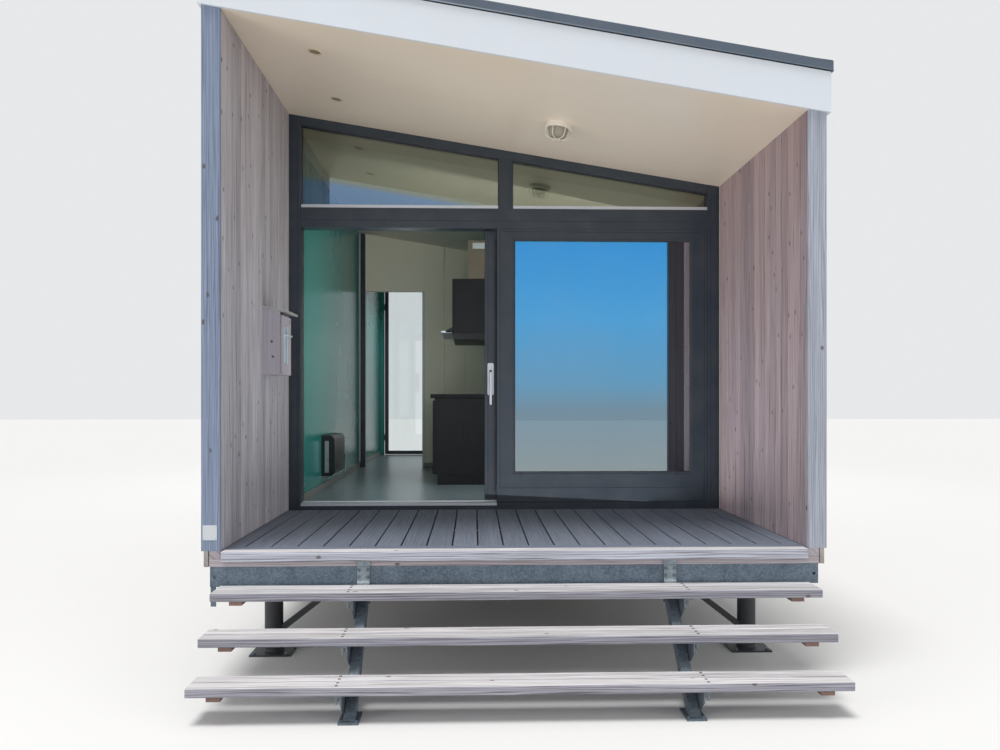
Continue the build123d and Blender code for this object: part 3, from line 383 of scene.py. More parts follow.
def turned(outline: Array, centre: Sequence[float], axis: Array, sides: int = 32, ring: bool = False) -> Shell:
    """Turn an outline round an axis: centre + r * (cos t * p + sin t * q) + h * axis.

    Args:
        outline: Points of (r, h). An open outline gets flat caps, a ring is a closed loop.
        centre: Point on the axis where h is 0.
        axis: Direction of the axis.
        sides: Number of points round.
        ring: Whether the outline is a closed loop.

    Returns:
        The closed surface.
    """
    axis = np.asarray(axis, float) / np.linalg.norm(axis)
    helper = X if abs(axis[0]) < 0.7 else Y
    p = np.cross(axis, helper)
    p /= np.linalg.norm(p)
    q = np.cross(axis, p)
    angle = np.linspace(0, 2 * np.pi, sides, endpoint=False)
    round_way = np.cos(angle)[:, None] * p + np.sin(angle)[:, None] * q
    outline = np.asarray(outline, float)
    points = (
        np.asarray(centre, float)
        + outline[:, None, 0:1] * round_way[None]
        + outline[:, None, 1:2] * axis
    ).reshape(-1, 3)
    faces = grid_faces(len(outline), sides, wrap_rows=ring)
    loops, counts = [faces.ravel()], [np.full(len(faces), 4)]
    if not ring:
        end = np.arange(sides)
        loops += [end[::-1], end + (len(outline) - 1) * sides]
        counts.append(np.full(2, sides))
    uv = points[:, :2] + points[:, 2:]
    return Shell(points, np.concatenate(loops), np.concatenate(counts), uv, np.full(len(points), 0.5))


def tube(path: Array, radius: float, up: Array, sides: int = 10) -> Shell:
    """Carry a circle along a smooth path: path(s) + radius * (cos t * a(s) + sin t * b(s)).

    Args:
        path: Points of the centre line.
        radius: Radius of the tube.
        up: A direction that the path never runs along; a is square to it and to the path.
        sides: Number of points round.

    Returns:
        The closed surface with flat ends.
    """
    path = np.asarray(path, float)
    tangent = np.gradient(path, axis=0)
    tangent /= np.linalg.norm(tangent, axis=1)[:, None]
    a = np.cross(tangent, np.asarray(up, float))
    a /= np.linalg.norm(a, axis=1)[:, None]
    b = np.cross(a, tangent)
    angle = np.linspace(0, 2 * np.pi, sides, endpoint=False)
    circle = np.stack([np.cos(angle), np.sin(angle)], 1) * radius
    return carried(circle, path, a, b)


def screw_head(axis: Array, radius: float = 0.004, height: float = 0.0016, sides: int = 10) -> Shell:
    """Make a low round head: a turned outline that falls from its crown to its rim."""
    rise = [(radius, -height), (radius, 0.2 * height), (0.8 * radius, 0.75 * height), (0.35 * radius, height)]
    return turned(rise, (0, 0, 0), axis, sides)


def hex_bolt(axis: Array, size: float = 0.019, height: float = 0.009) -> Shell:
    """Make a washer with a six-sided head on it.

    Args:
        axis: Direction away from the surface.
        size: Width of the head across its corners.
        height: Height of the head.

    Returns:
        The washer and the head as one shell, standing on the origin.
    """
    washer = turned([(size * 0.62, -0.001), (size * 0.62, 0.0022), (size * 0.3, 0.0022)], (0, 0, 0), axis, 18)
    rim = [(size / 2, 0.001), (size / 2, height * 0.85), (size * 0.42, height)]
    return Shell.join([washer, turned(rim, (0, 0, 0), axis, 6)])


@dataclass(frozen=True)
class Extent:
    """Lowest and highest corner of a node of the frame."""

    x0: float
    x1: float
    y0: float
    y1: float
    z0: float
    z1: float

    @staticmethod
    def of(node: str) -> "Extent":
        """Read the extent of a node by its name."""
        low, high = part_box(node)
        return Extent(low.x, high.x, low.y, high.y, low.z, high.z)

    @property
    def middle(self) -> Array:
        """Middle of the node."""
        return np.array([self.x0 + self.x1, self.y0 + self.y1, self.z0 + self.z1]) / 2


# Finishes


class Graph:
    """Shader nodes of one material, with short ways to add and join them."""

    def __init__(self, name: str) -> None:
        """Make an empty material of that name with one Principled shader."""
        self.material = bpy.data.materials.new(name)
        self.material.use_nodes = True
        self.tree = self.material.node_tree
        self.tree.nodes.clear()
        output = self.tree.nodes.new("ShaderNodeOutputMaterial")
        self.shader = self.tree.nodes.new("ShaderNodeBsdfPrincipled")
        self.tree.links.new(self.shader.outputs[0], output.inputs["Surface"])

    def add(self, kind: str, inputs: dict[str | int, object] | None = None, **settings: object) -> bpy.types.Node:
        """Add a node and feed its inputs.

        Args:
            kind: Type of the node without its ShaderNode prefix.
            inputs: Input name or number to a value or to another node's output.
            **settings: Properties of the node.

        Returns:
            The new node.
        """
        node = self.tree.nodes.new("ShaderNode" + kind)
        for key, value in settings.items():
            setattr(node, key, value)
        for key, value in (inputs or {}).items():
            self.feed(node.inputs[key], value)
        return node

    def feed(self, socket: bpy.types.NodeSocket, value: object) -> None:
        """Join a socket to an output, or set its own value."""
        if isinstance(value, bpy.types.NodeSocket):
            self.tree.links.new(value, socket)
        elif isinstance(value, tuple) and socket.type == "RGBA" and len(value) == 3:
            socket.default_value = (*value, 1.0)
        else:
            socket.default_value = value

    def maths(self, operation: str, *values: object, clamp: bool = False) -> bpy.types.NodeSocket:
        """Add a Math node and return its output."""
        return self.add("Math", dict(enumerate(values)), operation=operation, use_clamp=clamp).outputs[0]

    def mix(self, share: object, first: object, second: object, blend: str = "MIX") -> bpy.types.NodeSocket:
        """Mix two colours and return the result."""
        return self.add("Mix", {0: share, 6: first, 7: second}, data_type="RGBA", blend_type=blend).outputs[2]

    def noise(self, vector: object, scale: float = 1.0, detail: float = 3.0, roughness: float = 0.5) -> bpy.types.NodeSocket:
        """Add a noise of a scale and return its value."""
        inputs = {"Vector": vector, "Scale": scale, "Detail": detail, "Roughness": roughness}
        return self.add("TexNoise", inputs).outputs[0]

    def ramp(self, value: object, *stops: tuple[float, Colour | float]) -> bpy.types.NodeSocket:
        """Turn a value into a colour by stops of position and colour."""
        node = self.add("ValToRGB", {0: value})
        elements = node.color_ramp.elements
        while len(elements) < len(stops):
            elements.new(0.5)
        for element, (position, colour) in zip(elements, stops):
            element.position = position
            shade = colour if isinstance(colour, tuple) else (colour,) * 3
            element.color = (*shade, 1.0)
        return node.outputs[0]

    def place(self, lie: Lie) -> tuple[bpy.types.NodeSocket, bpy.types.NodeSocket]:
        """Find the distance along the grain and across it.

        Args:
            lie: How the grain lies. Off a board's own pattern, across is the sum of the other two.

        Returns:
            The outputs along and across, in metres.
        """
        source = self.add("TexCoord").outputs["UV" if lie is Lie.ALONG_PIECE else "Object"]
        parts = self.add("SeparateXYZ", {0: source}).outputs
        if lie is Lie.ALONG_PIECE:
            return parts[0], parts[1]
        along = "xyz".index(lie.value)
        others = [parts[index] for index in range(3) if index != along]
        return parts[along], self.maths("ADD", *others)

    def vector(self, *values: object) -> bpy.types.NodeSocket:
        """Combine three values into a vector."""
        return self.add("CombineXYZ", dict(enumerate(values))).outputs[0]

    @property
    def object_place(self) -> bpy.types.NodeSocket:
        """Object coordinates, which are the frame's own."""
        return self.add("TexCoord").outputs["Object"]

    def bump(self, height: object, distance: float, strength: float = 1.0) -> None:
        """Raise the surface by a height times a distance in metres."""
        node = self.add("Bump", {"Height": height, "Distance": distance, "Strength": strength})
        self.feed(self.shader.inputs["Normal"], node.outputs[0])

    def set(self, **values: object) -> None:
        """Feed inputs of the shader, named with underscores for spaces."""
        for key, value in values.items():
            self.feed(self.shader.inputs[key.replace("_", " ")], value)


@dataclass(frozen=True)
class Finish(ABC):
    """A finish of the hut, made into a material the first time it is used."""

    label: str
    slot: str

    @abstractmethod
    def paint(self, graph: Graph) -> None:
        """Add this finish's nodes to a material."""

    def material(self) -> bpy.types.Material:
        """Return the finish's material."""
        found = bpy.data.materials.get(self.label)
        if found is None:
            graph = Graph(self.label)
            self.paint(graph)
            found = graph.material
        return found


@dataclass(frozen=True)
class Larch(Finish):
    """Weathered larch: streaks, rings and knots, a warmer tone out of the sun, and, with sides, painted shade on faces
    that don't look up.
    """

    pale: Colour = rgb(186, 180, 175)
    dark: Colour = rgb(118, 112, 109)
    warm: Colour = rgb(156, 128, 114)
    warmth: float = 0.3
    lie: Lie = Lie.ALONG_PIECE
    sheltered_from: float = 0.0
    knots: float = 0.88
    knot: Colour = rgb(88, 74, 68)
    contrast: float = 1.0
    # sides: colour multiplier on faces that don't look up, a painted shade
    sides: Colour | None = None

    def paint(self, graph: Graph) -> None:
        """Mix two greys by streaks and rings, darken knots, warm the tone by board and height, and paint shade on faces
        that don't look up.
        """
        along, across = graph.place(self.lie)
        tone = graph.add("Attribute", attribute_name="tone").outputs["Fac"]
        fine = graph.noise(
            graph.vector(graph.maths("MULTIPLY", along, 2.2), graph.maths("MULTIPLY", across, 130.0), tone), 1.0, 5.0, 0.62
        )
        wide = graph.noise(
            graph.vector(graph.maths("MULTIPLY", along, 0.9), graph.maths("MULTIPLY", across, 22.0), tone), 1.0, 3.0
        )
        phase = graph.maths("MULTIPLY_ADD", across, 520.0, graph.maths("MULTIPLY", wide, 30.0))
        rings = graph.maths("MULTIPLY_ADD", graph.maths("SINE", phase), 0.5, 0.5)
        wobble = graph.noise(graph.vector(along, across, 0.0), 34.0, 3.0)
        cells = graph.vector(
            graph.maths("MULTIPLY_ADD", wobble, 0.16, graph.maths("MULTIPLY", along, 7.0)),
            graph.maths("MULTIPLY_ADD", wobble, 0.16, graph.maths("MULTIPLY", across, 12.0)),
            0.0,
        )
        voronoi = graph.add("TexVoronoi", {"Vector": cells, "Scale": 1.0}, voronoi_dimensions="2D")
        spot = graph.maths("SUBTRACT", 1.0, graph.maths("MULTIPLY", voronoi.outputs["Distance"], 8.0), clamp=True)
        chosen = graph.maths("GREATER_THAN", graph.add("SeparateColor", {0: voronoi.outputs["Color"]}).outputs[0], self.knots)
        knot = graph.maths("MULTIPLY", graph.maths("SMOOTH_MIN", graph.maths("MULTIPLY", spot, 2.2), 1.0, 0.1), chosen)
        streak = graph.maths("MULTIPLY_ADD", rings, 0.28, graph.maths("MULTIPLY", fine, 0.95))
        streak = graph.maths("MULTIPLY_ADD", wide, 0.35, graph.maths("SUBTRACT", streak, 0.24))
        level = graph.maths("MULTIPLY_ADD", graph.maths("SUBTRACT", streak, 0.5), self.contrast, 0.5)
        grey = graph.mix(graph.ramp(level, (0.18, 0.0), (0.5, 0.55), (0.82, 1.0)), self.dark, self.pale)
        patches = graph.noise(graph.object_place, 1.1, 2.0)
        warm = graph.maths("MULTIPLY", graph.maths("MULTIPLY_ADD", patches, 1.2, tone), self.warmth)
        if self.sheltered_from > 0:
            height = graph.add("SeparateXYZ", {0: graph.object_place}).outputs[2]
            rise = graph.add(
                "MapRange", {0: height, 1: self.sheltered_from, 2: self.sheltered_from + 1.6, 3: 0.0, 4: 0.45}
            ).outputs[0]
            warm = graph.maths("ADD", warm, rise)
        warmed = graph.mix(graph.maths("MINIMUM", warm, 0.85), grey, graph.mix(0.75, grey, self.warm))
        shade = graph.maths("MULTIPLY_ADD", tone, 0.26 * self.contrast, 0.99 - 0.13 * self.contrast)
        toned = graph.mix(1.0, warmed, graph.vector(shade, shade, shade), "MULTIPLY")
        # painted shade: faces that don't look up are multiplied by sides, tops keep the full colour
        if self.sides is not None:
            facing = graph.add("SeparateXYZ", {0: graph.add("NewGeometry").outputs["Normal"]}).outputs[2]
            painted_shade_share = graph.add("MapRange", {0: facing, 1: 0.35, 2: 0.8, 3: 1.0, 4: 0.0}).outputs[0]
            toned = graph.mix(painted_shade_share, toned, graph.mix(1.0, toned, self.sides, "MULTIPLY"))
        coloured = graph.mix(graph.maths("MULTIPLY", knot, 0.75), toned, self.knot)
        graph.set(Base_Color=coloured, Roughness=0.82, Specular_IOR_Level=0.28)
        height = graph.maths("SUBTRACT", graph.maths("MULTIPLY_ADD", fine, 0.8, rings), graph.maths("MULTIPLY", knot, 0.5))
        graph.bump(height, 0.0009, 0.55)


@dataclass(frozen=True)
class Galvanised(Finish):
    """Hot-dip galvanised steel: spangle in flat greys, cloudy and a little streaked."""

    pale: Colour = rgb(122, 137, 150)
    dark: Colour = rgb(70, 84, 97)

    def paint(self, graph: Graph) -> None:
        """Give each spangle cell a grey, cloud them, and vary the gloss."""
        cells = graph.add("TexVoronoi", {"Vector": graph.object_place, "Scale": 120.0, "Randomness": 1.0})
        spangle = graph.add("SeparateColor", {0: cells.outputs["Color"]}).outputs[0]
        clouds = graph.noise(graph.object_place, 9.0, 5.0, 0.62)
        runs = graph.noise(graph.add("Mapping", {0: graph.object_place, 3: (14.0, 14.0, 1.6)}).outputs[0], 1.0, 4.0)
        share = graph.maths("MULTIPLY_ADD", spangle, 0.35, graph.maths("MULTIPLY_ADD", clouds, 0.6, graph.maths("MULTIPLY", runs, 0.35)))
        colour = graph.mix(graph.ramp(share, (0.3, 0.0), (0.95, 1.0)), self.dark, self.pale)
        graph.set(Base_Color=colour, Metallic=0.35, Specular_IOR_Level=0.45)
        bright = graph.maths("MULTIPLY", graph.maths("GREATER_THAN", spangle, 0.86), 0.16)
        graph.set(Roughness=graph.maths("SUBTRACT", graph.maths("MULTIPLY_ADD", spangle, 0.18, 0.42), bright))
        graph.bump(clouds, 0.0004, 0.5)


@dataclass(frozen=True)
class Paint(Finish):
    """Paint, powder coat, foil or film on a flat part, with dust, mottling and a fine skin."""

    colour: Colour = (0.5, 0.5, 0.5)
    roughness: float = 0.5
    mottle: float = 0.08
    mottle_scale: float = 3.0
    grain_scale: float = 320.0
    grain_height: float = 0.0001
    coat: float = 0.0
    metallic: float = 0.0
    dust: Colour = rgb(150, 145, 138)

    def paint(self, graph: Graph) -> None:
        """Cloud the colour towards dust and roughen the dusty parts."""
        clouds = graph.noise(graph.object_place, self.mottle_scale, 5.0, 0.6)
        grain = graph.noise(graph.object_place, self.grain_scale, 2.0)
        share = graph.maths("MULTIPLY", graph.ramp(clouds, (0.38, 0.0), (0.78, 1.0)), self.mottle)
        share = graph.maths("MULTIPLY_ADD", grain, self.mottle * 0.35, share)
        graph.set(Base_Color=graph.mix(share, self.colour, self.dust), Metallic=self.metallic)
        graph.set(Roughness=graph.maths("MULTIPLY_ADD", clouds, 0.12, self.roughness - 0.06))
        graph.set(Coat_Weight=self.coat, Coat_Roughness=0.05)
        graph.bump(grain, self.grain_height, 0.6)


@dataclass(frozen=True)
class Pane(Finish):
    """Coated window glass, a tinted mirror that lets the rest through, with a painted sky reflection in its tint by
    height.
    """

    colour: Colour = rgb(150, 190, 215)
    mirror: float = 0.4
    roughness: float = 0.0
    painted_sky_tints: tuple[tuple[float, Colour], ...] = ()
    fall: float = 0.0
    end: float = 9.0
    seal_from_end: float = 0.122

    def paint(self, graph: Graph) -> None:
        """Set a tinted mirror over clear glass, with films of dust, and a tint that changes with height as a painted
        sky reflection.

        The height is counted along the fall of the roof. Beyond the end in x the tint is a dull grey, a painted
        reflection of the shaded wall beside the pane, with a paler seal.

        Args:
            graph: The graph to fill.
        """
        film = graph.noise(graph.object_place, 1.7, 4.0)
        tint = self.colour
        # painted reflection: the tint follows height to stand for the sky mirrored in the glass
        if self.painted_sky_tints:
            place = graph.add("SeparateXYZ", {0: graph.object_place})
            height = graph.maths("MULTIPLY_ADD", place.outputs[0], self.fall, place.outputs[2])
            low, high = self.painted_sky_tints[0][0], self.painted_sky_tints[-1][0]
            share = graph.add("MapRange", {0: height, 1: low, 2: high, 3: 0.0, 4: 1.0}).outputs[0]
            tint = graph.ramp(share, *(((z - low) / (high - low), colour) for z, colour in self.painted_sky_tints))
            # painted reflection: past end, a dull grey stands for the shaded wing wall mirrored in the pane
            tint = graph.mix(graph.maths("GREATER_THAN", place.outputs[0], self.end), tint, rgb(108, 118, 126))
            strip = graph.maths("GREATER_THAN", place.outputs[0], self.end + self.seal_from_end)
            tint = graph.mix(strip, tint, rgb(216, 226, 232))
        colour = graph.mix(graph.maths("MULTIPLY", film, 0.10), tint, rgb(205, 215, 220))
        graph.set(Base_Color=colour, Metallic=self.mirror, Transmission_Weight=1.0, IOR=1.45)
        graph.set(Roughness=graph.maths("MULTIPLY", film, 0.02 + self.roughness))


@dataclass(frozen=True)
class Brushed(Finish):
    """Satin stainless steel with fine lines."""

    colour: Colour = rgb(196, 198, 200)
    lie: Lie = Lie.ALONG_Z
    roughness: float = 0.28

    def paint(self, graph: Graph) -> None:
        """Stretch a noise into lines that vary gloss and height."""
        along, across = graph.place(self.lie)
        lines = graph.noise(graph.vector(graph.maths("MULTIPLY", along, 9.0), graph.maths("MULTIPLY", across, 1500.0), 0.0), 1.0, 2.0)
        clouds = graph.noise(graph.object_place, 14.0, 3.0)
        colour = graph.mix(graph.maths("MULTIPLY", clouds, 0.25), self.colour, rgb(140, 142, 146))
        graph.set(Base_Color=colour, Metallic=1.0, Roughness=graph.maths("MULTIPLY_ADD", lines, 0.2, self.roughness - 0.1))
        graph.bump(lines, 0.00008, 0.5)


@dataclass(frozen=True)
class StageFloor(Finish):
    """Matt studio floor, pale to the camera and to mirrors, that throws less light back on the hut."""

    shown: Colour = rgb(243, 242, 240)
    thrown: Colour = rgb(206, 204, 200)

    def paint(self, graph: Graph) -> None:
        """Choose the colour by the kind of ray and cloud it a little."""
        path = graph.add("LightPath")
        seen = graph.maths("MAXIMUM", path.outputs["Is Camera Ray"], path.outputs["Is Glossy Ray"])
        seen = graph.maths("MAXIMUM", seen, path.outputs["Is Transmission Ray"])
        clouds = graph.noise(graph.object_place, 0.6, 3.0)
        shown = graph.mix(graph.maths("MULTIPLY", clouds, 0.06), self.shown, self.thrown)
        graph.set(Base_Color=graph.mix(seen, self.thrown, shown), Roughness=0.9, Specular_IOR_Level=0.2)


@dataclass(frozen=True)
class Veneer(Finish):
    """Dark veneer, plain or with upright reeds."""

    pale: Colour = rgb(34, 35, 37)
    dark: Colour = rgb(10, 12, 15)
    reed_pitch: float = 0.014

    def paint(self, graph: Graph) -> None:
        """Draw upright grain and round reeds, half a sine of the place across."""
        along, across = graph.place(Lie.ALONG_Z)
        grain = graph.noise(graph.vector(graph.maths("MULTIPLY", along, 3.0), graph.maths("MULTIPLY", across, 160.0), 0.0), 1.0, 4.0, 0.6)
        reeds = graph.maths("ABSOLUTE", graph.maths("SINE", graph.maths("MULTIPLY", across, math.pi / self.reed_pitch)))
        share = graph.maths("MULTIPLY_ADD", reeds, 0.15, graph.maths("MULTIPLY", grain, 0.85))
        graph.set(Base_Color=graph.mix(share, self.dark, self.pale), Roughness=0.42)
        graph.bump(graph.maths("MULTIPLY_ADD", grain, 0.3, reeds), 0.0014, 0.7)


BOARD_GREY = Larch("wing boards", "larch_grey", rgb(207, 208, 217), rgb(118, 119, 127), rgb(166, 148, 143), 0.14, contrast=1.3, sheltered_from=2.2)
BOARD_PINK = Larch("right wing boards", "larch_grey", rgb(186, 176, 187), rgb(106, 96, 102), rgb(168, 142, 136), 0.32, contrast=1.5, sheltered_from=1.6)
CLADDING = Larch("outside cladding", "larch_grey", rgb(186, 182, 179), rgb(120, 115, 113), rgb(158, 136, 126), 0.12)
# The left end plank's darker blue is painted shade; the right plank keeps a paler grey.
END_PLANK_PAINTED_SHADE = Larch("left end plank", "larch_grey", rgb(154, 168, 194), rgb(86, 97, 118), rgb(116, 116, 122), 0.06, knots=0.93, contrast=0.8)
POST_PALE = Larch("right end plank", "larch_grey", rgb(190, 197, 212), rgb(112, 118, 131), rgb(146, 142, 143), 0.08, knots=0.9, contrast=0.85)
DECKING = Larch("deck boards", "deck_larch", rgb(134, 143, 159), rgb(84, 91, 104), rgb(112, 106, 104), 0.1, knots=0.97, contrast=0.7)
# sides on TREADS and NOSING darken and blue the fronts and undersides: painted shade
TREADS = Larch("tread boards", "deck_larch", rgb(242, 242, 244), rgb(124, 118, 122), rgb(172, 156, 152), 0.14, knots=0.96, contrast=1.3, sides=(0.50, 0.51, 0.58))
NOSING = replace(TREADS, label="nosing board", sides=(0.70, 0.75, 0.84))
BEAM_WOOD = Larch("plinth beam wood", "larch_brown", rgb(194, 189, 196), rgb(122, 115, 121), rgb(168, 150, 146), 0.2, knots=0.96)
CLEAT_WOOD = Larch("cleat wood", "larch_brown", rgb(142, 120, 112), rgb(98, 82, 76), rgb(130, 102, 90), 0.3)
JOIST_WOOD = Larch("joist wood", "larch_brown", rgb(112, 100, 92), rgb(66, 57, 52), rgb(104, 82, 70), 0.5, Lie.ALONG_X)
PLATFORM_WOOD = Larch("platform wood", "larch_brown", rgb(160, 146, 134), rgb(100, 86, 78), rgb(146, 116, 98), 0.4, Lie.ALONG_Y)
STEEL = Galvanised("galvanised steel", "galvanised_steel")
DARK_STEEL = Galvanised("darker galvanised steel", "galvanised_steel", rgb(122, 134, 144), rgb(80, 90, 99))
BRIGHT_STEEL = Galvanised("bright galvanised steel", "galvanised_steel", rgb(158, 168, 174), rgb(112, 124, 132))
LEG_PAINT = Paint("leg paint", "leg_steel", rgb(46, 49, 54), 0.55, 0.2, 6.0, dust=rgb(112, 110, 108))
SOFFIT = Paint("soffit panels", "soffit_cream", rgb(246, 231, 210), 0.34, 0.18, 0.9, 240.0, 0.00015, dust=rgb(206, 194, 174))
CEILING = Paint("room ceiling", "soffit_cream", rgb(226, 218, 204), 0.5, 0.1, 1.2)
FASCIA = Paint("fascia boards", "fascia_white", rgb(224, 231, 240), 0.42, 0.16, 1.6, dust=rgb(205, 202, 196))
TRIM = Paint("roof edge metal", "trim_slate", rgb(82, 95, 110), 0.38, 0.2, 4.0, dust=rgb(126, 132, 138))
MEMBRANE = Paint("roof membrane", "roof_membrane", rgb(66, 68, 72), 0.85, 0.3, 2.2, 90.0, 0.0006, dust=rgb(122, 116, 106))
# the blue cast of the anthracite is a painted sky sheen on the powder coat
ANTHRACITE = Paint("frame powder coat", "frame_anthracite", rgb(47, 58, 70), 0.34, 0.08, 5.0, 900.0, 0.00006)
GASKET = Paint("glazing gasket", "frame_anthracite", rgb(26, 26, 27), 0.7, 0.2, 20.0)
ALUMINIUM = Paint("aluminium strips", "handle_steel", rgb(214, 221, 230), 0.36, 0.12, 9.0, 700.0, 0.00005, metallic=0.45)
STAINLESS = Brushed("stainless steel", "handle_steel")
# The tints by height paint the sky's reflection into the glass; beyond end in x the pane shows a painted reflection of
# the shaded wing wall.
GLASS = Pane(
    "window glass",
    "window_glass",
    mirror=0.62,
    end=1.255,
    painted_sky_tints=(
        (1.0, rgb(168, 182, 186)),
        (1.5, rgb(146, 180, 200)),
        (1.7, rgb(126, 194, 232)),
        (2.2, rgb(98, 200, 255)),
        (2.8, rgb(62, 184, 255)),
    ),
)
# painted shade: dark core that the open joints show in place of shade
CAVITY_PAINTED_SHADE = Paint("wall cavity", "larch_grey", rgb(52, 46, 42), 0.9, 0.3, 8.0)
TEAL = Paint("teal lining", "lining_teal", rgb(40, 134, 130), 0.26, 0.08, 0.8, 60.0, 0.00002, dust=rgb(96, 150, 128))
CREAM_WALL = Paint("cream wall panels", "wall_cream", rgb(240, 234, 212), 0.5, 0.1, 1.0)
BACKSPLASH = Paint("kitchen backing", "wall_cream", rgb(148, 156, 156), 0.4, 0.1, 1.4)
PALE_TRIM = Paint("pale trim", "wall_cream", rgb(216, 217, 216), 0.4, 0.1, 3.0)
SKIRTING = Paint("skirting", "wall_cream", rgb(128, 132, 130), 0.4, 0.15, 4.0)
FLOOR = Paint("dark floor", "floor_dark", rgb(110, 130, 140), 0.3, 0.35, 7.0, 140.0, 0.00012)
REEDED = Veneer("reeded veneer", "kitchen_wood")
WORKTOP = Paint("worktop", "kitchen_wood", rgb(24, 26, 30), 0.85, 0.03, 30.0)
DUCT = Paint("duct box", "kitchen_wood", rgb(84, 77, 60), 0.5, 0.15, 3.0)
HEATER_BLACK = Paint("heater enamel", "heater_black", rgb(22, 24, 28), 0.35, 0.04, 6.0)
LAMP_WHITE = Paint("lamp enamel", "lamp_white", rgb(240, 233, 220), 0.3, 0.06, 12.0)
# pale bluish paint with little metal: the lock's steel with a painted sunlit glint
LOCK_PAINTED_SUNLIT = Paint("lock steel", "handle_steel", rgb(206, 224, 236), 0.35, metallic=0.2)
LAMP_GLASS = Paint("lamp glass", "lamp_glass", rgb(160, 155, 140), 0.12, 0.1, 18.0)
PLATE = Paint("bare plate", "fascia_white", rgb(206, 212, 218), 0.35, 0.08, 9.0)
INNER_STEEL = Paint("screw heads", "galvanised_steel", rgb(92, 92, 94), 0.4, 0.2, 30.0, metallic=0.6)


# Pieces


@dataclass
class SubAssembly(ABC):
    """A part of the hut that makes its own pieces."""

    made: list[str] = field(default_factory=list, init=False)

    @abstractmethod
    def build(self) -> None:
        """Make the pieces of this sub-assembly."""

    def add(
        self,
        name: str,
        shells: Shell | Sequence[Shell],
        finish: Finish,
        body: Body = Body.HUT,
        replaces: Iterable[str] = (),
        smooth: float = 20.0,
    ) -> bpy.types.Object:
        """Turn shells into a mesh, point its faces outwards, and hand it to the frame.

        Args:
            name: Name of the piece.
            shells: What it is made of.
            finish: Its finish.
            body: The body that it moves with.
            replaces: Nodes of the frame that it stands for.
            smooth: Angle in degrees under which edges look smooth.

        Returns:
            The new object.
        """
        shell = shells if isinstance(shells, Shell) else Shell.join(list(shells))
        mesh = bpy.data.meshes.new(name)
        mesh.vertices.add(len(shell.points))
        mesh.vertices.foreach_set("co", shell.points.astype(np.float32).ravel())
        mesh.loops.add(len(shell.loops))
        mesh.loops.foreach_set("vertex_index", shell.loops.astype(np.int32))
        mesh.polygons.add(len(shell.counts))
        starts = np.concatenate([[0], np.cumsum(shell.counts)[:-1]]).astype(np.int32)
        mesh.polygons.foreach_set("loop_start", starts)
        mesh.update(calc_edges=True)
        layer = mesh.uv_layers.new(name="UVMap")
        layer.data.foreach_set("uv", shell.uv[shell.loops].astype(np.float32).ravel())
        tone = mesh.attributes.new("tone", "FLOAT", "POINT")
        tone.data.foreach_set("value", shell.tone.astype(np.float32))
        work = bmesh.new()
        work.from_mesh(mesh)
        bmesh.ops.recalc_face_normals(work, faces=work.faces)
        work.to_mesh(mesh)
        work.free()
        mesh.polygons.foreach_set("use_smooth", np.ones(len(mesh.polygons), bool))
        mesh.set_sharp_from_angle(angle=math.radians(smooth))
        mesh.materials.append(finish.material())
        piece = bpy.data.objects.new(name, mesh)
        bpy.context.scene.collection.objects.link(piece)
        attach(piece, body.value)
        if replaces:
            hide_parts(*replaces)
        self.made.append(name)
        return piece

    def dress(self, finish: Finish, *nodes: str) -> None:
        """Give nodes of the frame a finish in place of their plain one."""
        for node in nodes:
            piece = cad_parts[node]
            piece.data.materials.clear()
            piece.data.materials.append(finish.material())
            self.made.append(node)


@dataclass(frozen=True)
class Slope:
    """The sloping soffit: height = middle - fall * x, both read from the frame."""

    middle: float
    fall: float
    sheet: float = 0.015

    @staticmethod
    def of(node: str, sheet: float = 0.015) -> "Slope":
        """Read the slope from the box of the soffit sheet.

        Args:
            node: The soffit's node.
            sheet: Upright thickness of the sheet.

        Returns:
            The height at x = 0 and the fall for each metre.
        """
        box = Extent.of(node)
        return Slope((box.z0 + box.z1 - sheet) / 2, (box.z1 - sheet - box.z0) / (box.x1 - box.x0), sheet)

    def at(self, x: float | Array) -> float | Array:
        """Height of the soffit at x."""
        return self.middle - self.fall * np.asarray(x)

    def layer(self, x0: float, x1: float, outline: Array, tone: float = 0.5) -> Shell:
        """Carry a (y, height above the soffit) outline along the slope from x0 to x1."""
        path = [(x0, 0.0, self.at(x0)), (x1, 0.0, self.at(x1))]
        return carried(outline, path, Y, Z, tone=tone, shift=x0 * 3.1)

    def post(self, outline: Array, bottom: float, top: float, tone: float = 0.5) -> Shell:
        """Carry an (x, y) outline upright from a bottom height to an offset from the soffit."""
        shell = carried(outline, [(0, 0, bottom), (0, 0, bottom + 1)], X, Y, tone=tone)
        size = len(outline)
        shell.points[size:, 2] = self.at(shell.points[size:, 0]) + top
        shell.uv[size:, 0] += shell.points[size:, 2] - bottom - 1
        return shell


SLOPE = Slope.of("veranda_soffit")


def shifted(outline: Array, a: float, b: float) -> Array:
    """Move an outline by a and b."""
    return np.asarray(outline) + np.array([a, b])


def box_corners(x0: float, x1: float, y: float, z0: float, z1: float) -> Array:
    """Corners of an upright rectangle at y, from the lower left round to the upper left."""
    return np.array([(x0, y, z0), (x1, y, z0), (x1, y, z1), (x0, y, z1)], float)


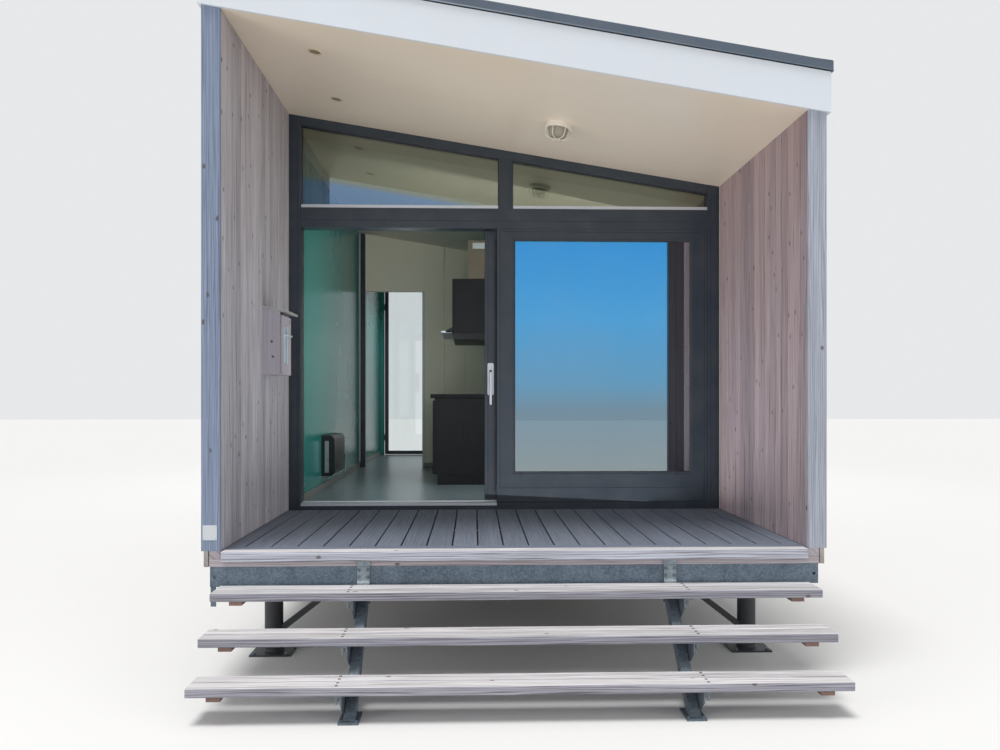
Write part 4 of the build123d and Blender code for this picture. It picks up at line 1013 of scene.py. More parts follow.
@dataclass
class Chassis(SubAssembly):
    """Galvanised channel beams, cross members and what is fixed to them."""

    hole_from_end: float = 0.024
    strip_low: float = 0.437

    def build(self) -> None:
        """Dress the beams, rim their holes and add the strip at the left end."""
        self.dress(STEEL, "chassis_front_beam", "chassis_rear_beam", "chassis_rails", "chassis_cross_members")
        beam, rear = Extent.of("chassis_front_beam"), Extent.of("chassis_rear_beam")
        middle = (beam.z0 + beam.z1) / 2
        rim = [(0.0086, 0.0), (0.0125, 0.0), (0.0118, 0.0012), (0.0092, 0.0012)]
        holes = [(side * (beam.x1 - self.hole_from_end), beam.y0, middle) for side in (-1, 1)]
        self.add("beam_hole_rims", turned(rim, (0, 0, 0), -Y, 24, ring=True).placed(np.array(holes) + (0, 0.0008, 0)), STEEL)
        x, y, z = holes[1]
        self.add("beam_hole_shade", block((x - 0.012, y + 0.0064, z - 0.012), (x + 0.012, y + 0.0084, z + 0.012)), GASKET)
        strip = block((beam.x0 + 0.001, beam.y0 + 0.0062, self.strip_low), (beam.x0 + 0.031, beam.y0 + 0.0122, 0.63))
        self.add("beam_end_strip", strip, STEEL)
        places = np.linspace(beam.x0 + 0.4, beam.x1 - 0.4, 5)
        heads = hex_bolt(Y).placed([(x, rear.y1 - 0.0095, middle) for x in places])
        self.add("rear_beam_bolts", heads, STEEL)


@dataclass
class Trestles(SubAssembly):
    """Round legs with foot plates and knee braces under the beams."""

    leg_x: float = 1.5
    leg_radius: float = 0.057

    def build(self) -> None:
        """Dress the trestles, add a weld collar at each leg's ends and bolts on the foot plates."""
        collars, bolts = [], []
        for node in ("trestle_front", "trestle_middle", "trestle_rear"):
            self.dress(LEG_PAINT, node)
            box = Extent.of(node)
            y = box.middle[1]
            for x in (-self.leg_x, self.leg_x):
                collars += [(x, y, 0.010), (x, y, box.z1 - 0.112)]
                bolts += [(x + dx, y + dy, 0.010) for dx in (-0.1, 0.1) for dy in (-0.1, 0.1)]
        r = self.leg_radius
        weld = [(r - 0.001, 0.0), (r + 0.006, 0.001), (r + 0.004, 0.006), (r - 0.001, 0.012)]
        self.add("leg_welds", turned(weld, (0, 0, 0), Z, 36, ring=True).placed(collars), LEG_PAINT)
        self.add("foot_bolts", hex_bolt(Z, 0.024, 0.012).placed(bolts), STEEL)


STRINGER_X = 0.855


@dataclass
class Stairs(SubAssembly):
    """Three treads of two boards on brackets at two sloping tubes."""

    board: float = 0.095
    gap: float = 0.005
    thickness: float = 0.045
    cleat: float = 0.020
    cleat_width: float = 0.070
    cleat_from_end: float = 0.100
    bolt_x: float = 0.913
    rod_below: float = 0.040

    def build(self) -> None:
        """Lay the treads, then add bolts, rods with nuts, and plate bolts to the stringers."""
        self.dress(DARK_STEEL, "stair_stringer_left", "stair_stringer_right")
        heads, rods, screws = [], [], []
        for number, node in enumerate(("stair_tread_upper", "stair_tread_middle", "stair_tread_lower")):
            box = Extent.of(node)
            under = box.z1 - self.thickness
            starts = [(box.x0, box.y0 + index * (self.board + self.gap), under) for index in range(2)]
            size = box.x1 - box.x0
            treads = boards(starts, size, self.board, self.thickness, X, Y, Z, 0.005, 11 + number)
            self.add(node + "_boards", treads, TREADS, replaces=[node])
            ends = [(side * (box.x1 - self.cleat_from_end - self.cleat_width / 2) - self.cleat_width / 2, box.y0 + 0.002, under - self.cleat) for side in (-1, 1)]
            cleats = boards(ends, box.y1 - box.y0 - 0.004, self.cleat_width, self.cleat, Y, X, Z, 0.003, 31 + number)
            self.add(node + "_cleats", cleats, CLEAT_WOOD)
            rows = [box.y0 + 0.026, box.y0 + 0.070, box.y0 + 0.126, box.y0 + 0.170]
            for side in (-1, 1):
                heads += [(side * self.bolt_x, y, box.z1 - 0.0004) for y in rows]
                rods += [(side * self.bolt_x, y, under - 0.006) for y in rows]
                middle = side * (box.x1 - self.cleat_from_end - self.cleat_width / 2)
                screws += [(middle + dx, y, under - self.cleat) for y in rows for dx in (-0.018, 0.018)]
        self.add("tread_bolt_heads", screw_head(Z, 0.0085, 0.0024, 14).placed(heads), INNER_STEEL)
        shank = turned([(0.004, 0.002), (0.004, -self.rod_below + 0.002), (0.0028, -self.rod_below)], (0, 0, 0), Z, 10)
        nut = turned([(0.0075, -0.0078), (0.0085, -0.0066), (0.0085, -0.0012), (0.0105, -0.0010), (0.0105, 0.0006)], (0, 0, 0), Z, 6)
        self.add("tread_rods_and_nuts", Shell.join([shank, nut]).placed(rods), BRIGHT_STEEL)
        self.add("cleat_screws", screw_head(-Z, 0.0045, 0.0015, 8).placed(screws), INNER_STEEL)
        plate = Extent.of("stair_stringer_left")
        y = plate.y1 - 0.008
        bolts = [(side * STRINGER_X + dx, y - 0.005, z) for side in (-1, 1) for z in (0.600, 0.640) for dx in (-0.024, 0.024)]
        self.add("hanger_bolts", hex_bolt(-Y, 0.016, 0.008).placed(bolts), STEEL)
        hooks = [(0.0, 0.0), (-0.005, 0.0), (-0.005, -0.075), (-0.013, -0.088), (-0.013, -0.098), (-0.008, -0.098), (-0.007, -0.090), (0.0, -0.078)]
        for side in (-1, 1):
            path = [(side * STRINGER_X - 0.034, y, 0.655), (side * STRINGER_X + 0.034, y, 0.655)]
            self.add(f"hanger_hook_{'left' if side < 0 else 'right'}", carried(np.array(hooks), path, Y, Z), BRIGHT_STEEL)
        straps = [block((side * STRINGER_X - 0.038, y - 0.0005, 0.656), (side * STRINGER_X + 0.038, plate.y1 - 0.0006, 0.688), 0.001) for side in (-1, 1)]
        self.add("hanger_straps", straps, BRIGHT_STEEL)
        feet = [(side * STRINGER_X + dx, plate.y0 + 0.03, 0.010) for side in (-1, 1) for dx in (-0.038, 0.038)]
        self.add("stringer_foot_bolts", hex_bolt(Z, 0.015, 0.008).placed(feet), STEEL)


@dataclass
class Deck(SubAssembly):
    """Veranda boards laid front to back behind a cross board and a nosing board."""

    board: float = 0.138
    gap: float = 0.009
    nosing_gap: float = 0.005
    skirt_joint: float = 3.9

    def build(self) -> None:
        """Lay the deck, its front boards, the beam under them and the skirts at the sides."""
        self.dress(JOIST_WOOD, "veranda_joists")
        self.dress(PLATFORM_WOOD, "floor_platform")
        deck, beam = Extent.of("veranda_deck"), Extent.of("front_plinth_beam")
        edge, skirt = Extent.of("deck_edge_board"), Extent.of("side_skirts")
        pitch = self.board + self.gap
        first = -math.floor((deck.x1 - self.board / 2) / pitch) * pitch - self.board / 2
        lefts = np.arange(first, deck.x1, pitch)
        low = np.concatenate([[deck.x0], lefts[lefts > deck.x0]])
        high = np.minimum(np.concatenate([[lefts[lefts > deck.x0][0] - self.gap], lefts[lefts > deck.x0] + self.board]), deck.x1)
        keep = high - low > 0.02
        low, high = low[keep], high[keep]
        starts = np.stack([low, np.full(len(low), deck.y0), np.full(len(low), deck.z0)], 1)
        laid = boards(starts, deck.y1 - deck.y0 - 0.001, high - low, deck.z1 - deck.z0, Y, X, Z, 0.003, 5)
        self.add("veranda_boards", laid, DECKING, replaces=["veranda_deck"])
        rows = [deck.y0 + 0.240 + index * 0.480 for index in range(3)] + [deck.y1 - 0.03]
        screws = [(x, y, deck.z1 - 0.0012) for y in rows for a, b in zip(low, high) for x in (a + 0.024, b - 0.024)]
        self.add("veranda_screws", screw_head(Z, 0.0042, 0.0010, 8).placed(screws), INNER_STEEL)
        self.add("deck_nosing", block((edge.x0, edge.y0, edge.z0 - 0.011), (edge.x1, edge.y1, edge.z1), 0.005, 0.8), NOSING, replaces=["deck_edge_board"])
        cross_y = edge.y1 + self.nosing_gap
        inner = deck.x1
        parts = [
            block((beam.x0, beam.y0, beam.z0), (beam.x1, beam.y1, edge.z0 - 0.0005), 0.003, 0.6),
            block((beam.x0, beam.y0, edge.z0 - 0.0003), (-inner - 0.0005, beam.y1, beam.z1), 0.002, 0.4),
            block((inner + 0.0005, beam.y0, edge.z0 - 0.0003), (beam.x1, beam.y1, beam.z1), 0.002, 0.7),
        ]
        self.add("plinth_beam", parts, BEAM_WOOD, replaces=["front_plinth_beam"])
        cross = block((-inner, cross_y, edge.z0), (inner, beam.y1, beam.z1), 0.003, 0.55)
        self.add("deck_cross_board", cross, DECKING)
        marks = [(side * STRINGER_X + dx, y, edge.z1 - 0.0008) for side in (-1, 1) for dx in (-0.02, 0.02) for y in (edge.y0 + 0.025, edge.y1 - 0.025)]
        self.add("nosing_screws", screw_head(Z, 0.0045, 0.0012, 8).placed(marks), INNER_STEEL)
        self.add_skirts(skirt, beam)

    def add_skirts(self, skirt: Extent, beam: Extent) -> None:
        """Hang two lengths of skirt board on each side, on spacer blocks.

        Args:
            skirt: Extent of both sides' skirts.
            beam: Extent of the front plinth beam, which the spacers stand against.
        """
        height, joint = skirt.z1 - skirt.z0, skirt.y0 + self.skirt_joint
        lengths, starts, spacers, screws = [], [], [], []
        for side in (-1, 1):
            face = min(side * skirt.x1, side * (skirt.x1 - 0.025))
            for low, high in ((skirt.y0, joint - 0.002), (joint + 0.002, skirt.y1)):
                starts.append((face, low, skirt.z0))
                lengths.append(high - low)
            ys = np.linspace(skirt.y0, skirt.y1, 18)[1:-1]
            inner = min(side * beam.x1, side * (beam.x1 + 0.005))
            spacers += [block((inner, y - 0.03, skirt.z0 + 0.022), (inner + 0.005, y + 0.03, skirt.z1 - 0.022), 0.0005) for y in ys]
            places = [(side * (skirt.x1 - 0.0011), y, skirt.z0 + dz) for y in ys for dz in (0.025, 0.063)]
            screws.append(screw_head(side * X, 0.0042, 0.0012, 8).placed(places))
        laid = boards(starts, np.array(lengths), height, 0.025, Y, Z, X, 0.003, 71)
        self.add("skirt_boards", laid, CLADDING, replaces=["side_skirts"])
        self.add("skirt_spacers", spacers, BEAM_WOOD)
        self.add("skirt_screws", screws, INNER_STEEL)


@dataclass
class BoardWalls(SubAssembly):
    """Walls of upright open-jointed larch boards over a core painted dark as the shade in the joints, with end planks.
    """

    pitch: float = 0.1011
    joint: float = 0.006
    board: float = 0.020
    plank: float = 0.022

    def side_boards(self, y0: float, y1: float, face_x: float, z0: float, seed: int) -> Shell:
        """Lay upright boards on one face of a side wall.

        Args:
            y0: Front end of the row.
            y1: Back end of the row.
            face_x: Lower x of the boards' thickness.
            z0: Foot of the boards.
            seed: Seed of their shades.

        Returns:
            The boards, cut to the roof slope.
        """
        number = max(1, round((y1 - y0) / self.pitch))
        pitch = (y1 - y0) / number
        ys = y0 + pitch * np.arange(number) + self.joint / 2
        starts = np.stack([np.full(number, face_x), ys, np.full(number, z0)], 1)
        height = float(SLOPE.at(face_x)) + SLOPE.sheet - z0
        return boards(starts, height, pitch - self.joint, self.board, Z, Y, X, 0.003, seed, SLOPE.fall)

    def nails(self, y0: float, y1: float, x: float, direction: Array, heights: Sequence[float]) -> Shell:
        """Put two small heads in each board of a side wall at each height."""
        number = max(1, round((y1 - y0) / self.pitch))
        pitch = (y1 - y0) / number
        centres = y0 + pitch * (np.arange(number) + 0.5)
        places = [(x, y + dy, z) for z in heights for y in centres for dy in (-0.026, 0.026)]
        return screw_head(direction, 0.0028, 0.0009, 8).placed(places)

    def build(self) -> None:
        """Board both wing walls, both side walls and the rear wall."""
        heads = []
        for side, wing, wall in ((-1, "wing_wall_left", "left_wall"), (1, "wing_wall_right", "right_wall")):
            name = "left" if side < 0 else "right"
            front, back = Extent.of(wing), Extent.of(wall)
            outside = front.x0 if side < 0 else front.x1 - self.board
            inside = front.x1 - self.board if side < 0 else front.x0
            core_x = (front.x0 + self.board + 0.001, front.x1 - self.board - 0.001)
            y0 = front.y0 + self.plank + 0.001
            core = SLOPE.post(shifted(rounded(core_x[1] - core_x[0], front.y1 - y0, 0.002), core_x[0], y0), front.z0 + 0.002, SLOPE.sheet)
            plank = SLOPE.post(shifted(rounded(front.x1 - front.x0, self.plank, 0.004), front.x0, front.y0), front.z0, SLOPE.sheet - 0.0005, 0.5)
            # the core's dark colour is painted shade seen through the open joints
            self.add(f"wing_core_{name}", core, CAVITY_PAINTED_SHADE, replaces=[wing])
            inner = self.side_boards(y0 + 0.002, front.y1 - 0.001, inside, front.z0, 101 + side)
            self.add(f"wing_boards_{name}", inner, BOARD_GREY if side < 0 else BOARD_PINK)
            self.add(f"wing_end_plank_{name}", plank, END_PLANK_PAINTED_SHADE if side < 0 else POST_PALE)
            outer = [self.side_boards(y0 + 0.002, front.y1, outside, front.z0, 111 + side), self.side_boards(back.y0, back.y1 - self.plank - 0.003, outside, back.z0, 121 + side)]
            self.add(f"outside_boards_{name}", outer, CLADDING)
            wall_x = (back.x0 + self.board + 0.001, back.x1) if side < 0 else (back.x0, back.x1 - self.board - 0.001)
            shell = SLOPE.post(shifted(rounded(wall_x[1] - wall_x[0], back.y1 - back.y0 - self.plank, 0.002), wall_x[0], back.y0), back.z0, SLOPE.sheet)
            self.add(f"wall_core_{name}", shell, CREAM_WALL, replaces=[wall])
            corner = SLOPE.post(shifted(rounded(back.x1 - back.x0, self.plank - 0.001, 0.004), back.x0, back.y1 - self.plank + 0.001), back.z0, SLOPE.sheet - 0.0005, 0.3)
            self.add(f"rear_corner_plank_{name}", corner, CLADDING)
            inner_x = front.x1 - 0.0008 if side < 0 else front.x0 + 0.0008
            outer_x = front.x0 + 0.0008 if side < 0 else front.x1 - 0.0008
            rows = (0.80, 1.45, 2.10, 2.75, 3.15)
            heads.append(self.nails(y0 + 0.002, front.y1, inner_x, -side * X, rows))
            heads.append(self.nails(y0 + 0.002, front.y1, outer_x, side * X, rows))
            heads.append(self.nails(back.y0, back.y1 - self.plank, outer_x, side * X, rows))
        self.add("wall_board_heads", heads, INNER_STEEL)
        self.build_rear()

    def build_rear(self) -> None:
        """Board the rear wall beside and over the door, cut to the slope."""
        wall, over = Extent.of("rear_wall"), Extent.of("rear_wall_over_door")
        for box, name in ((wall, "rear_wall"), (over, "rear_wall_over_door")):
            size = box.x1 - box.x0
            number = round(size / self.pitch)
            pitch = size / number
            xs = box.x0 + pitch * np.arange(number) + self.joint / 2
            starts = np.stack([xs, np.full(number, box.y1 - self.board), np.full(number, box.z0)], 1)
            heights = SLOPE.at(xs) + SLOPE.sheet - box.z0
            laid = boards(starts, heights, pitch - self.joint, self.board, Z, X, Y, 0.003, 141, SLOPE.fall)
            self.add(name + "_boards", laid, CLADDING)
            depth = box.y1 - box.y0 - self.board - 0.001
            core = SLOPE.post(shifted(rounded(size, depth, 0.002), box.x0, box.y0), box.z0, SLOPE.sheet)
            self.add(name + "_core", core, CREAM_WALL, replaces=[name])
        places = [(x + dx, wall.y1 - 0.0008, z) for x in np.arange(wall.x0 + 0.05, wall.x1, self.pitch) for dx in (-0.026, 0.026) for z in (0.80, 1.45, 2.10, 2.75, 3.10)]
        self.add("rear_board_heads", screw_head(Y, 0.0028, 0.0009, 8).placed(places), INNER_STEEL)


@dataclass
class Roof(SubAssembly):
    """Soffit panels, white fascia boards, folded slate edge metal and a seamed membrane."""

    panels: int = 3
    fascia_height: float = 0.230
    fascia: float = 0.018
    trim_height: float = 0.061
    trim_width: float = 0.110
    trim_joint_x: float = 0.70
    surface: float = 0.245

    def build(self) -> None:
        """Make the soffit, the fascia, the edge metal and the membrane."""
        self.dress(CEILING, "interior_ceiling")
        soffit, roof = Extent.of("veranda_soffit"), Extent.of("roof_panel")
        edges = np.linspace(soffit.y0, soffit.y1, self.panels + 1)
        edges[1:-1] += 0.06
        sheets = [
            SLOPE.layer(soffit.x0 + 0.001, soffit.x1 - 0.001, shifted(rounded(b - a - 0.0004, SLOPE.sheet - 0.0005, 0.0008), a, 0.0), 0.4 + 0.1 * index)
            for index, (a, b) in enumerate(zip(edges[:-1], edges[1:]))
        ]
        self.add("soffit_panels", sheets, SOFFIT, replaces=["veranda_soffit"])
        slab = SLOPE.layer(roof.x0, roof.x1, shifted(rounded(roof.y1 - roof.y0, self.surface - SLOPE.sheet - 0.004, 0.002), roof.y0, SLOPE.sheet))
        lanes = np.linspace(roof.y0 + 0.085, roof.y1 - 0.085, 8)
        strips = [SLOPE.layer(roof.x0 + 0.085, roof.x1 - 0.085, shifted(rounded(b - a + 0.03, 0.0036, 0.0015), a, self.surface - 0.0044 + 0.0002 * index), 0.3 + 0.08 * index) for index, (a, b) in enumerate(zip(lanes[:-1], lanes[1:]))]
        self.add("membrane", [slab, *strips], MEMBRANE, replaces=["roof_panel"])
        self.build_fascia()
        self.build_trim()

    def build_fascia(self) -> None:
        """Put a board along each edge, with small covered screws on the front and the rear."""
        box = Extent.of("fascia_boards")
        face = rounded(self.fascia, self.fascia_height - 0.001, 0.002)
        shells = [SLOPE.layer(box.x0, box.x1, shifted(face, y, 0.0)) for y in (box.y0, box.y1 - self.fascia)]
        side = rounded(box.y1 - box.y0 - 2 * self.fascia - 0.002, self.fascia_height - 0.001, 0.002)
        for x in (box.x0, box.x1 - self.fascia):
            shells.append(SLOPE.layer(x, x + self.fascia, shifted(side, box.y0 + self.fascia + 0.001, 0.0)))
        self.add("fascia", shells, FASCIA, replaces=["fascia_boards"])
        xs = np.linspace(box.x0 + 0.06, box.x1 - 0.06, 8)
        caps = []
        for y, direction in ((box.y0 + 0.0007, -Y), (box.y1 - 0.0007, Y)):
            places = [(x, y, SLOPE.at(x) + offset) for x in xs for offset in (0.03, 0.2)]
            caps.append(screw_head(direction, 0.0042, 0.0006, 10).placed(places))
        self.add("fascia_screws", caps, FASCIA)

    def build_trim(self) -> None:
        """Fold metal over each edge: a face with a kicked-out foot, a round top and a flat flange.

        The fold is an open line of (y, height) offset by the sheet's thickness into a closed loop.
        """
        box = Extent.of("roof_edge_trim")
        base, top = self.fascia_height, self.fascia_height + self.trim_height - 0.001
        face = np.array(
            [
                (0.0, base + 0.001), (0.0035, base + 0.010), (0.0035, top - 0.006), (0.0052, top - 0.002), (0.010, top),
                (self.trim_width - 0.006, top - 0.003), (self.trim_width, top - 0.020), (self.trim_width, self.surface + 0.001),
                (self.trim_width - 0.003, self.surface + 0.001), (self.trim_width - 0.004, top - 0.021), (0.012, top - 0.004),
                (0.0075, top - 0.010), (0.0075, base + 0.010), (0.004, base + 0.001),
            ]
        )
        front = shifted(face, box.y0, 0.0)
        rear = np.stack([box.y1 - face[:, 0], face[:, 1]], 1)[::-1]
        shells = [SLOPE.layer(box.x0 + 0.003, box.x1 - 0.003, outline) for outline in (front, rear)]
        length = np.array([box.y0 + 0.003, box.y1 - 0.003])
        for side in (-1, 1):
            edge = box.x1 if side > 0 else box.x0
            outline = np.stack([-side * face[:, 0], face[:, 1]], 1)
            sheared = np.stack([outline[:, 0], outline[:, 1] - SLOPE.fall * outline[:, 0]], 1)
            path = [(edge, y, SLOPE.at(edge)) for y in length]
            shells.append(carried(sheared if side > 0 else sheared[::-1], path, X, Z))
        self.add("edge_metal", shells, TRIM, replaces=["roof_edge_trim"])
        cover = shifted(face, box.y0, 0.0)
        cover[1:4, 0] -= 0.0012
        cover[4:7, 1] += 0.0009
        joint = SLOPE.layer(self.trim_joint_x - 0.02, self.trim_joint_x + 0.02, cover)
        self.add("edge_metal_joint", [joint], TRIM)


@dataclass
class GlazedFront(SubAssembly):
    """Anthracite frame with a sloping head, a transom, two upper lights, a fixed sash and a sill."""

    head: float = 0.064
    groove: float = 0.003

    def post_outline(self, x0: float, x1: float, y0: float, y1: float) -> Array:
        """Outline of an upright with rounded corners and a groove in its front near each side.

        Args:
            x0: Left side.
            x1: Right side.
            y0: Front.
            y1: Back.

        Returns:
            Closed loop of (x, y).
        """
        g, r = self.groove, 0.002
        notch = []
        for x in (x1 - 0.022, x0 + 0.022):
            notch += [(x + 0.0015, y0), (x + 0.001, y0 + g), (x - 0.001, y0 + g), (x - 0.0015, y0)]
        corners = [(x0 + r, y1), (x1 - r, y1), (x1, y1 - r), (x1, y0 + r), (x1 - r, y0)]
        return np.array([*corners, *notch, (x0 + r, y0), (x0, y0 + r), (x0, y1 - r)])[::-1]

    def build(self) -> None:
        """Make the outer frame, the lights and the fixed sash."""
        jambs, head = Extent.of("frame_jambs"), Extent.of("frame_head")
        transom, mullion = Extent.of("frame_transom"), Extent.of("frame_mullion")
        y0, y1 = jambs.y0, jambs.y1
        posts = [
            SLOPE.post(self.post_outline(jambs.x0, head.x0, y0, y1), jambs.z0, 0.0),
            SLOPE.post(self.post_outline(head.x1, jambs.x1, y0, y1), jambs.z0, 0.0),
        ]
        self.add("front_jambs", posts, ANTHRACITE, replaces=["frame_jambs"])
        centre = self.post_outline(mullion.x0, mullion.x1, y0 + 0.001, y1)
        self.add("front_mullion", SLOPE.post(centre, mullion.z0, -self.head), ANTHRACITE, replaces=["frame_mullion"])
        rail = shifted(rounded(y1 - y0, self.head, 0.002), y0, -self.head)
        self.add("front_head", SLOPE.layer(head.x0, head.x1, rail), ANTHRACITE, replaces=["frame_head"])
        bar = [
            (0.002, 0.0), (0.0, -0.002), (0.0, -0.093), (0.004, -0.095), (0.004, -0.145), (0.006, -0.150),
            (0.130, -0.150), (0.130, 0.0),
        ]
        line = [(transom.x0, y0, transom.z1), (transom.x1, y0, transom.z1)]
        self.add("front_transom", carried(np.array(bar), line, Y, Z), ANTHRACITE, replaces=["frame_transom"])
        self.build_lights(head, transom, mullion)
        self.build_fixed()
        self.build_sill()

    def build_lights(self, head: Extent, transom: Extent, mullion: Extent) -> None:
        """Glaze the two upper lights with beads, gaskets and an aluminium strip at their foot.

        Args:
            head: Extent of the sloping head.
            transom: Extent of the transom.
            mullion: Extent of the upper mullion.
        """
        glass = Extent.of("transom_glass")
        panes, beads, rubber, strips = [], [], [], []
        for x0, x1 in ((head.x0, mullion.x0), (mullion.x1, head.x1)):
            top = [SLOPE.at(x) - self.head for x in (x0, x1)]
            hole = np.array([(x0, 0, transom.z1), (x1, 0, transom.z1), (x1, 0, top[1]), (x0, 0, top[0])], float)
            panes.append(carried(hole[:, [0, 2]], [(0, glass.y0, 0), (0, glass.y1, 0)], X, Z))
            for y, depth in ((glass.y0, -1), (glass.y1, 1)):
                corners = hole + (0, y, 0)
                bead = [(0, 0.0, 0.0), (0, -0.003, 0.0), (0, -0.003, 0.005), (0, -0.002, 0.012), (0, 0.0, 0.014)]
                beads.append(framed(corners, corners, depth * Y, bead))
                seal = [(0, -0.0028, 0.0), (0, -0.0048, 0.0), (0, -0.0044, 0.003), (0, -0.0028, 0.004)]
                rubber.append(framed(corners, corners, depth * Y, seal))
            strips.append(block((x0 + 0.003, glass.y0 - 0.040, transom.z1 - 0.0005), (x1 - 0.003, glass.y0 - 0.013, transom.z1 + 0.024), 0.0015))
        self.add("upper_light_panes", panes, UPPER_GLASS, replaces=["transom_glass"])
        self.add("upper_light_beads", beads, ANTHRACITE)
        self.add("upper_light_gaskets", rubber, GASKET)
        self.add("upper_light_strips", strips, ALUMINIUM)

    def build_fixed(self) -> None:
        """Make the fixed sash with its glass, gaskets, drain slots and lower cover rail."""
        sash, glass = Extent.of("fixed_pane_frame"), Extent.of("fixed_pane_glass")
        self.add("fixed_sash", sash_frame(sash, glass), ANTHRACITE, replaces=["fixed_pane_frame"])
        self.dress(GLASS, "fixed_pane_glass")
        self.add("fixed_sash_gaskets", gaskets(sash, glass), GASKET)
        cover = block((sash.x0 + 0.006, sash.y0 - 0.004, sash.z0 + 0.006), (sash.x1 - 0.030, sash.y0 + 0.004, 0.907), 0.002)
        self.add("fixed_sash_cover_rail", cover, ANTHRACITE)
        slot = rounded(0.034, 0.007, 0.0034)
        drains = [carried(shifted(slot, x, 1.010), [(0, sash.y0 + 0.001, 0), (0, sash.y0 - 0.0025, 0)], X, Z) for x in (0.10, 1.30)]
        self.add("fixed_sash_drains", drains, GASKET)

    def build_sill(self) -> None:
        """Carry the sill's outline along the front and put the aluminium threshold on it."""
        sill = Extent.of("door_sill")
        outline = [(0.0, 0.0), (0.0, 0.012), (0.003, 0.014), (0.003, 0.031), (0.130, 0.031), (0.130, 0.0)]
        line = [(sill.x0, sill.y0, sill.z0), (sill.x1, sill.y0, sill.z0)]
        self.add("sill_base", carried(np.array(outline), line, Y, Z), ANTHRACITE, replaces=["door_sill"])
        rail_y = sill.y0 + 0.099
        cap = [
            (0.001, 0.0305), (0.001, 0.048), (0.003, 0.050), (rail_y - sill.y0 - 0.004, 0.050), (rail_y - sill.y0 - 0.003, 0.058),
            (rail_y - sill.y0 + 0.003, 0.058), (rail_y - sill.y0 + 0.004, 0.050), (0.129, 0.050), (0.129, 0.0305),
        ]
        fixed = Extent.of("fixed_pane_frame").x0
        for name, finish, x0, x1 in (("sill_threshold", ALUMINIUM, sill.x0, fixed), ("sill_under_fixed_sash", ANTHRACITE, fixed, sill.x1)):
            self.add(name, carried(np.array(cap), [(x0, sill.y0, sill.z0), (x1, sill.y0, sill.z0)], Y, Z), finish)


def sash_frame(sash: Extent, glass: Extent, clear: float = 0.0003) -> Shell:
    """Carry a sash outline round a pane: glass line, sloped bead, step, face with a groove.

    Args:
        sash: Extent of the sash.
        glass: Extent of its pane.
        clear: Gap between the pane and the sash.

    Returns:
        The mitred sash.
    """
    depth, line = sash.y1 - sash.y0, glass.y0 - sash.y0
    inner = box_corners(glass.x0 - clear, glass.x1 + clear, sash.y0, glass.z0 - clear, glass.z1 + clear)
    outer = box_corners(sash.x0, sash.x1, sash.y0, sash.z0, sash.z1)
    front = [
        (0, 0.0, line), (0, 0.0012, 0.0075), (0, 0.004, 0.006), (0, 0.0132, 0.005), (0, 0.014, 0.0015), (0, 0.0155, 0.0),
        (1, -0.0265, 0.0), (1, -0.0255, 0.0025), (1, -0.0235, 0.0025), (1, -0.0225, 0.0), (1, -0.002, 0.0), (1, 0.0, 0.002),
    ]
    back = [(t, d, depth - b) for t, d, b in front[::-1]]
    return framed(inner, outer, Y, np.array(front + back))


def gaskets(sash: Extent, glass: Extent) -> list[Shell]:
    """Make the dark seals between a pane and its beads, on both faces."""
    corners = box_corners(glass.x0, glass.x1, 0.0, glass.z0, glass.z1)
    seal = [(0, 0.0005, 0.0), (0, -0.0035, 0.0), (0, -0.003, 0.003), (0, 0.0005, 0.0055)]
    return [framed(corners + (0, y, 0), corners + (0, y, 0), way * Y, np.array(seal)) for y, way in ((glass.y0, -1), (glass.y1, 1))]


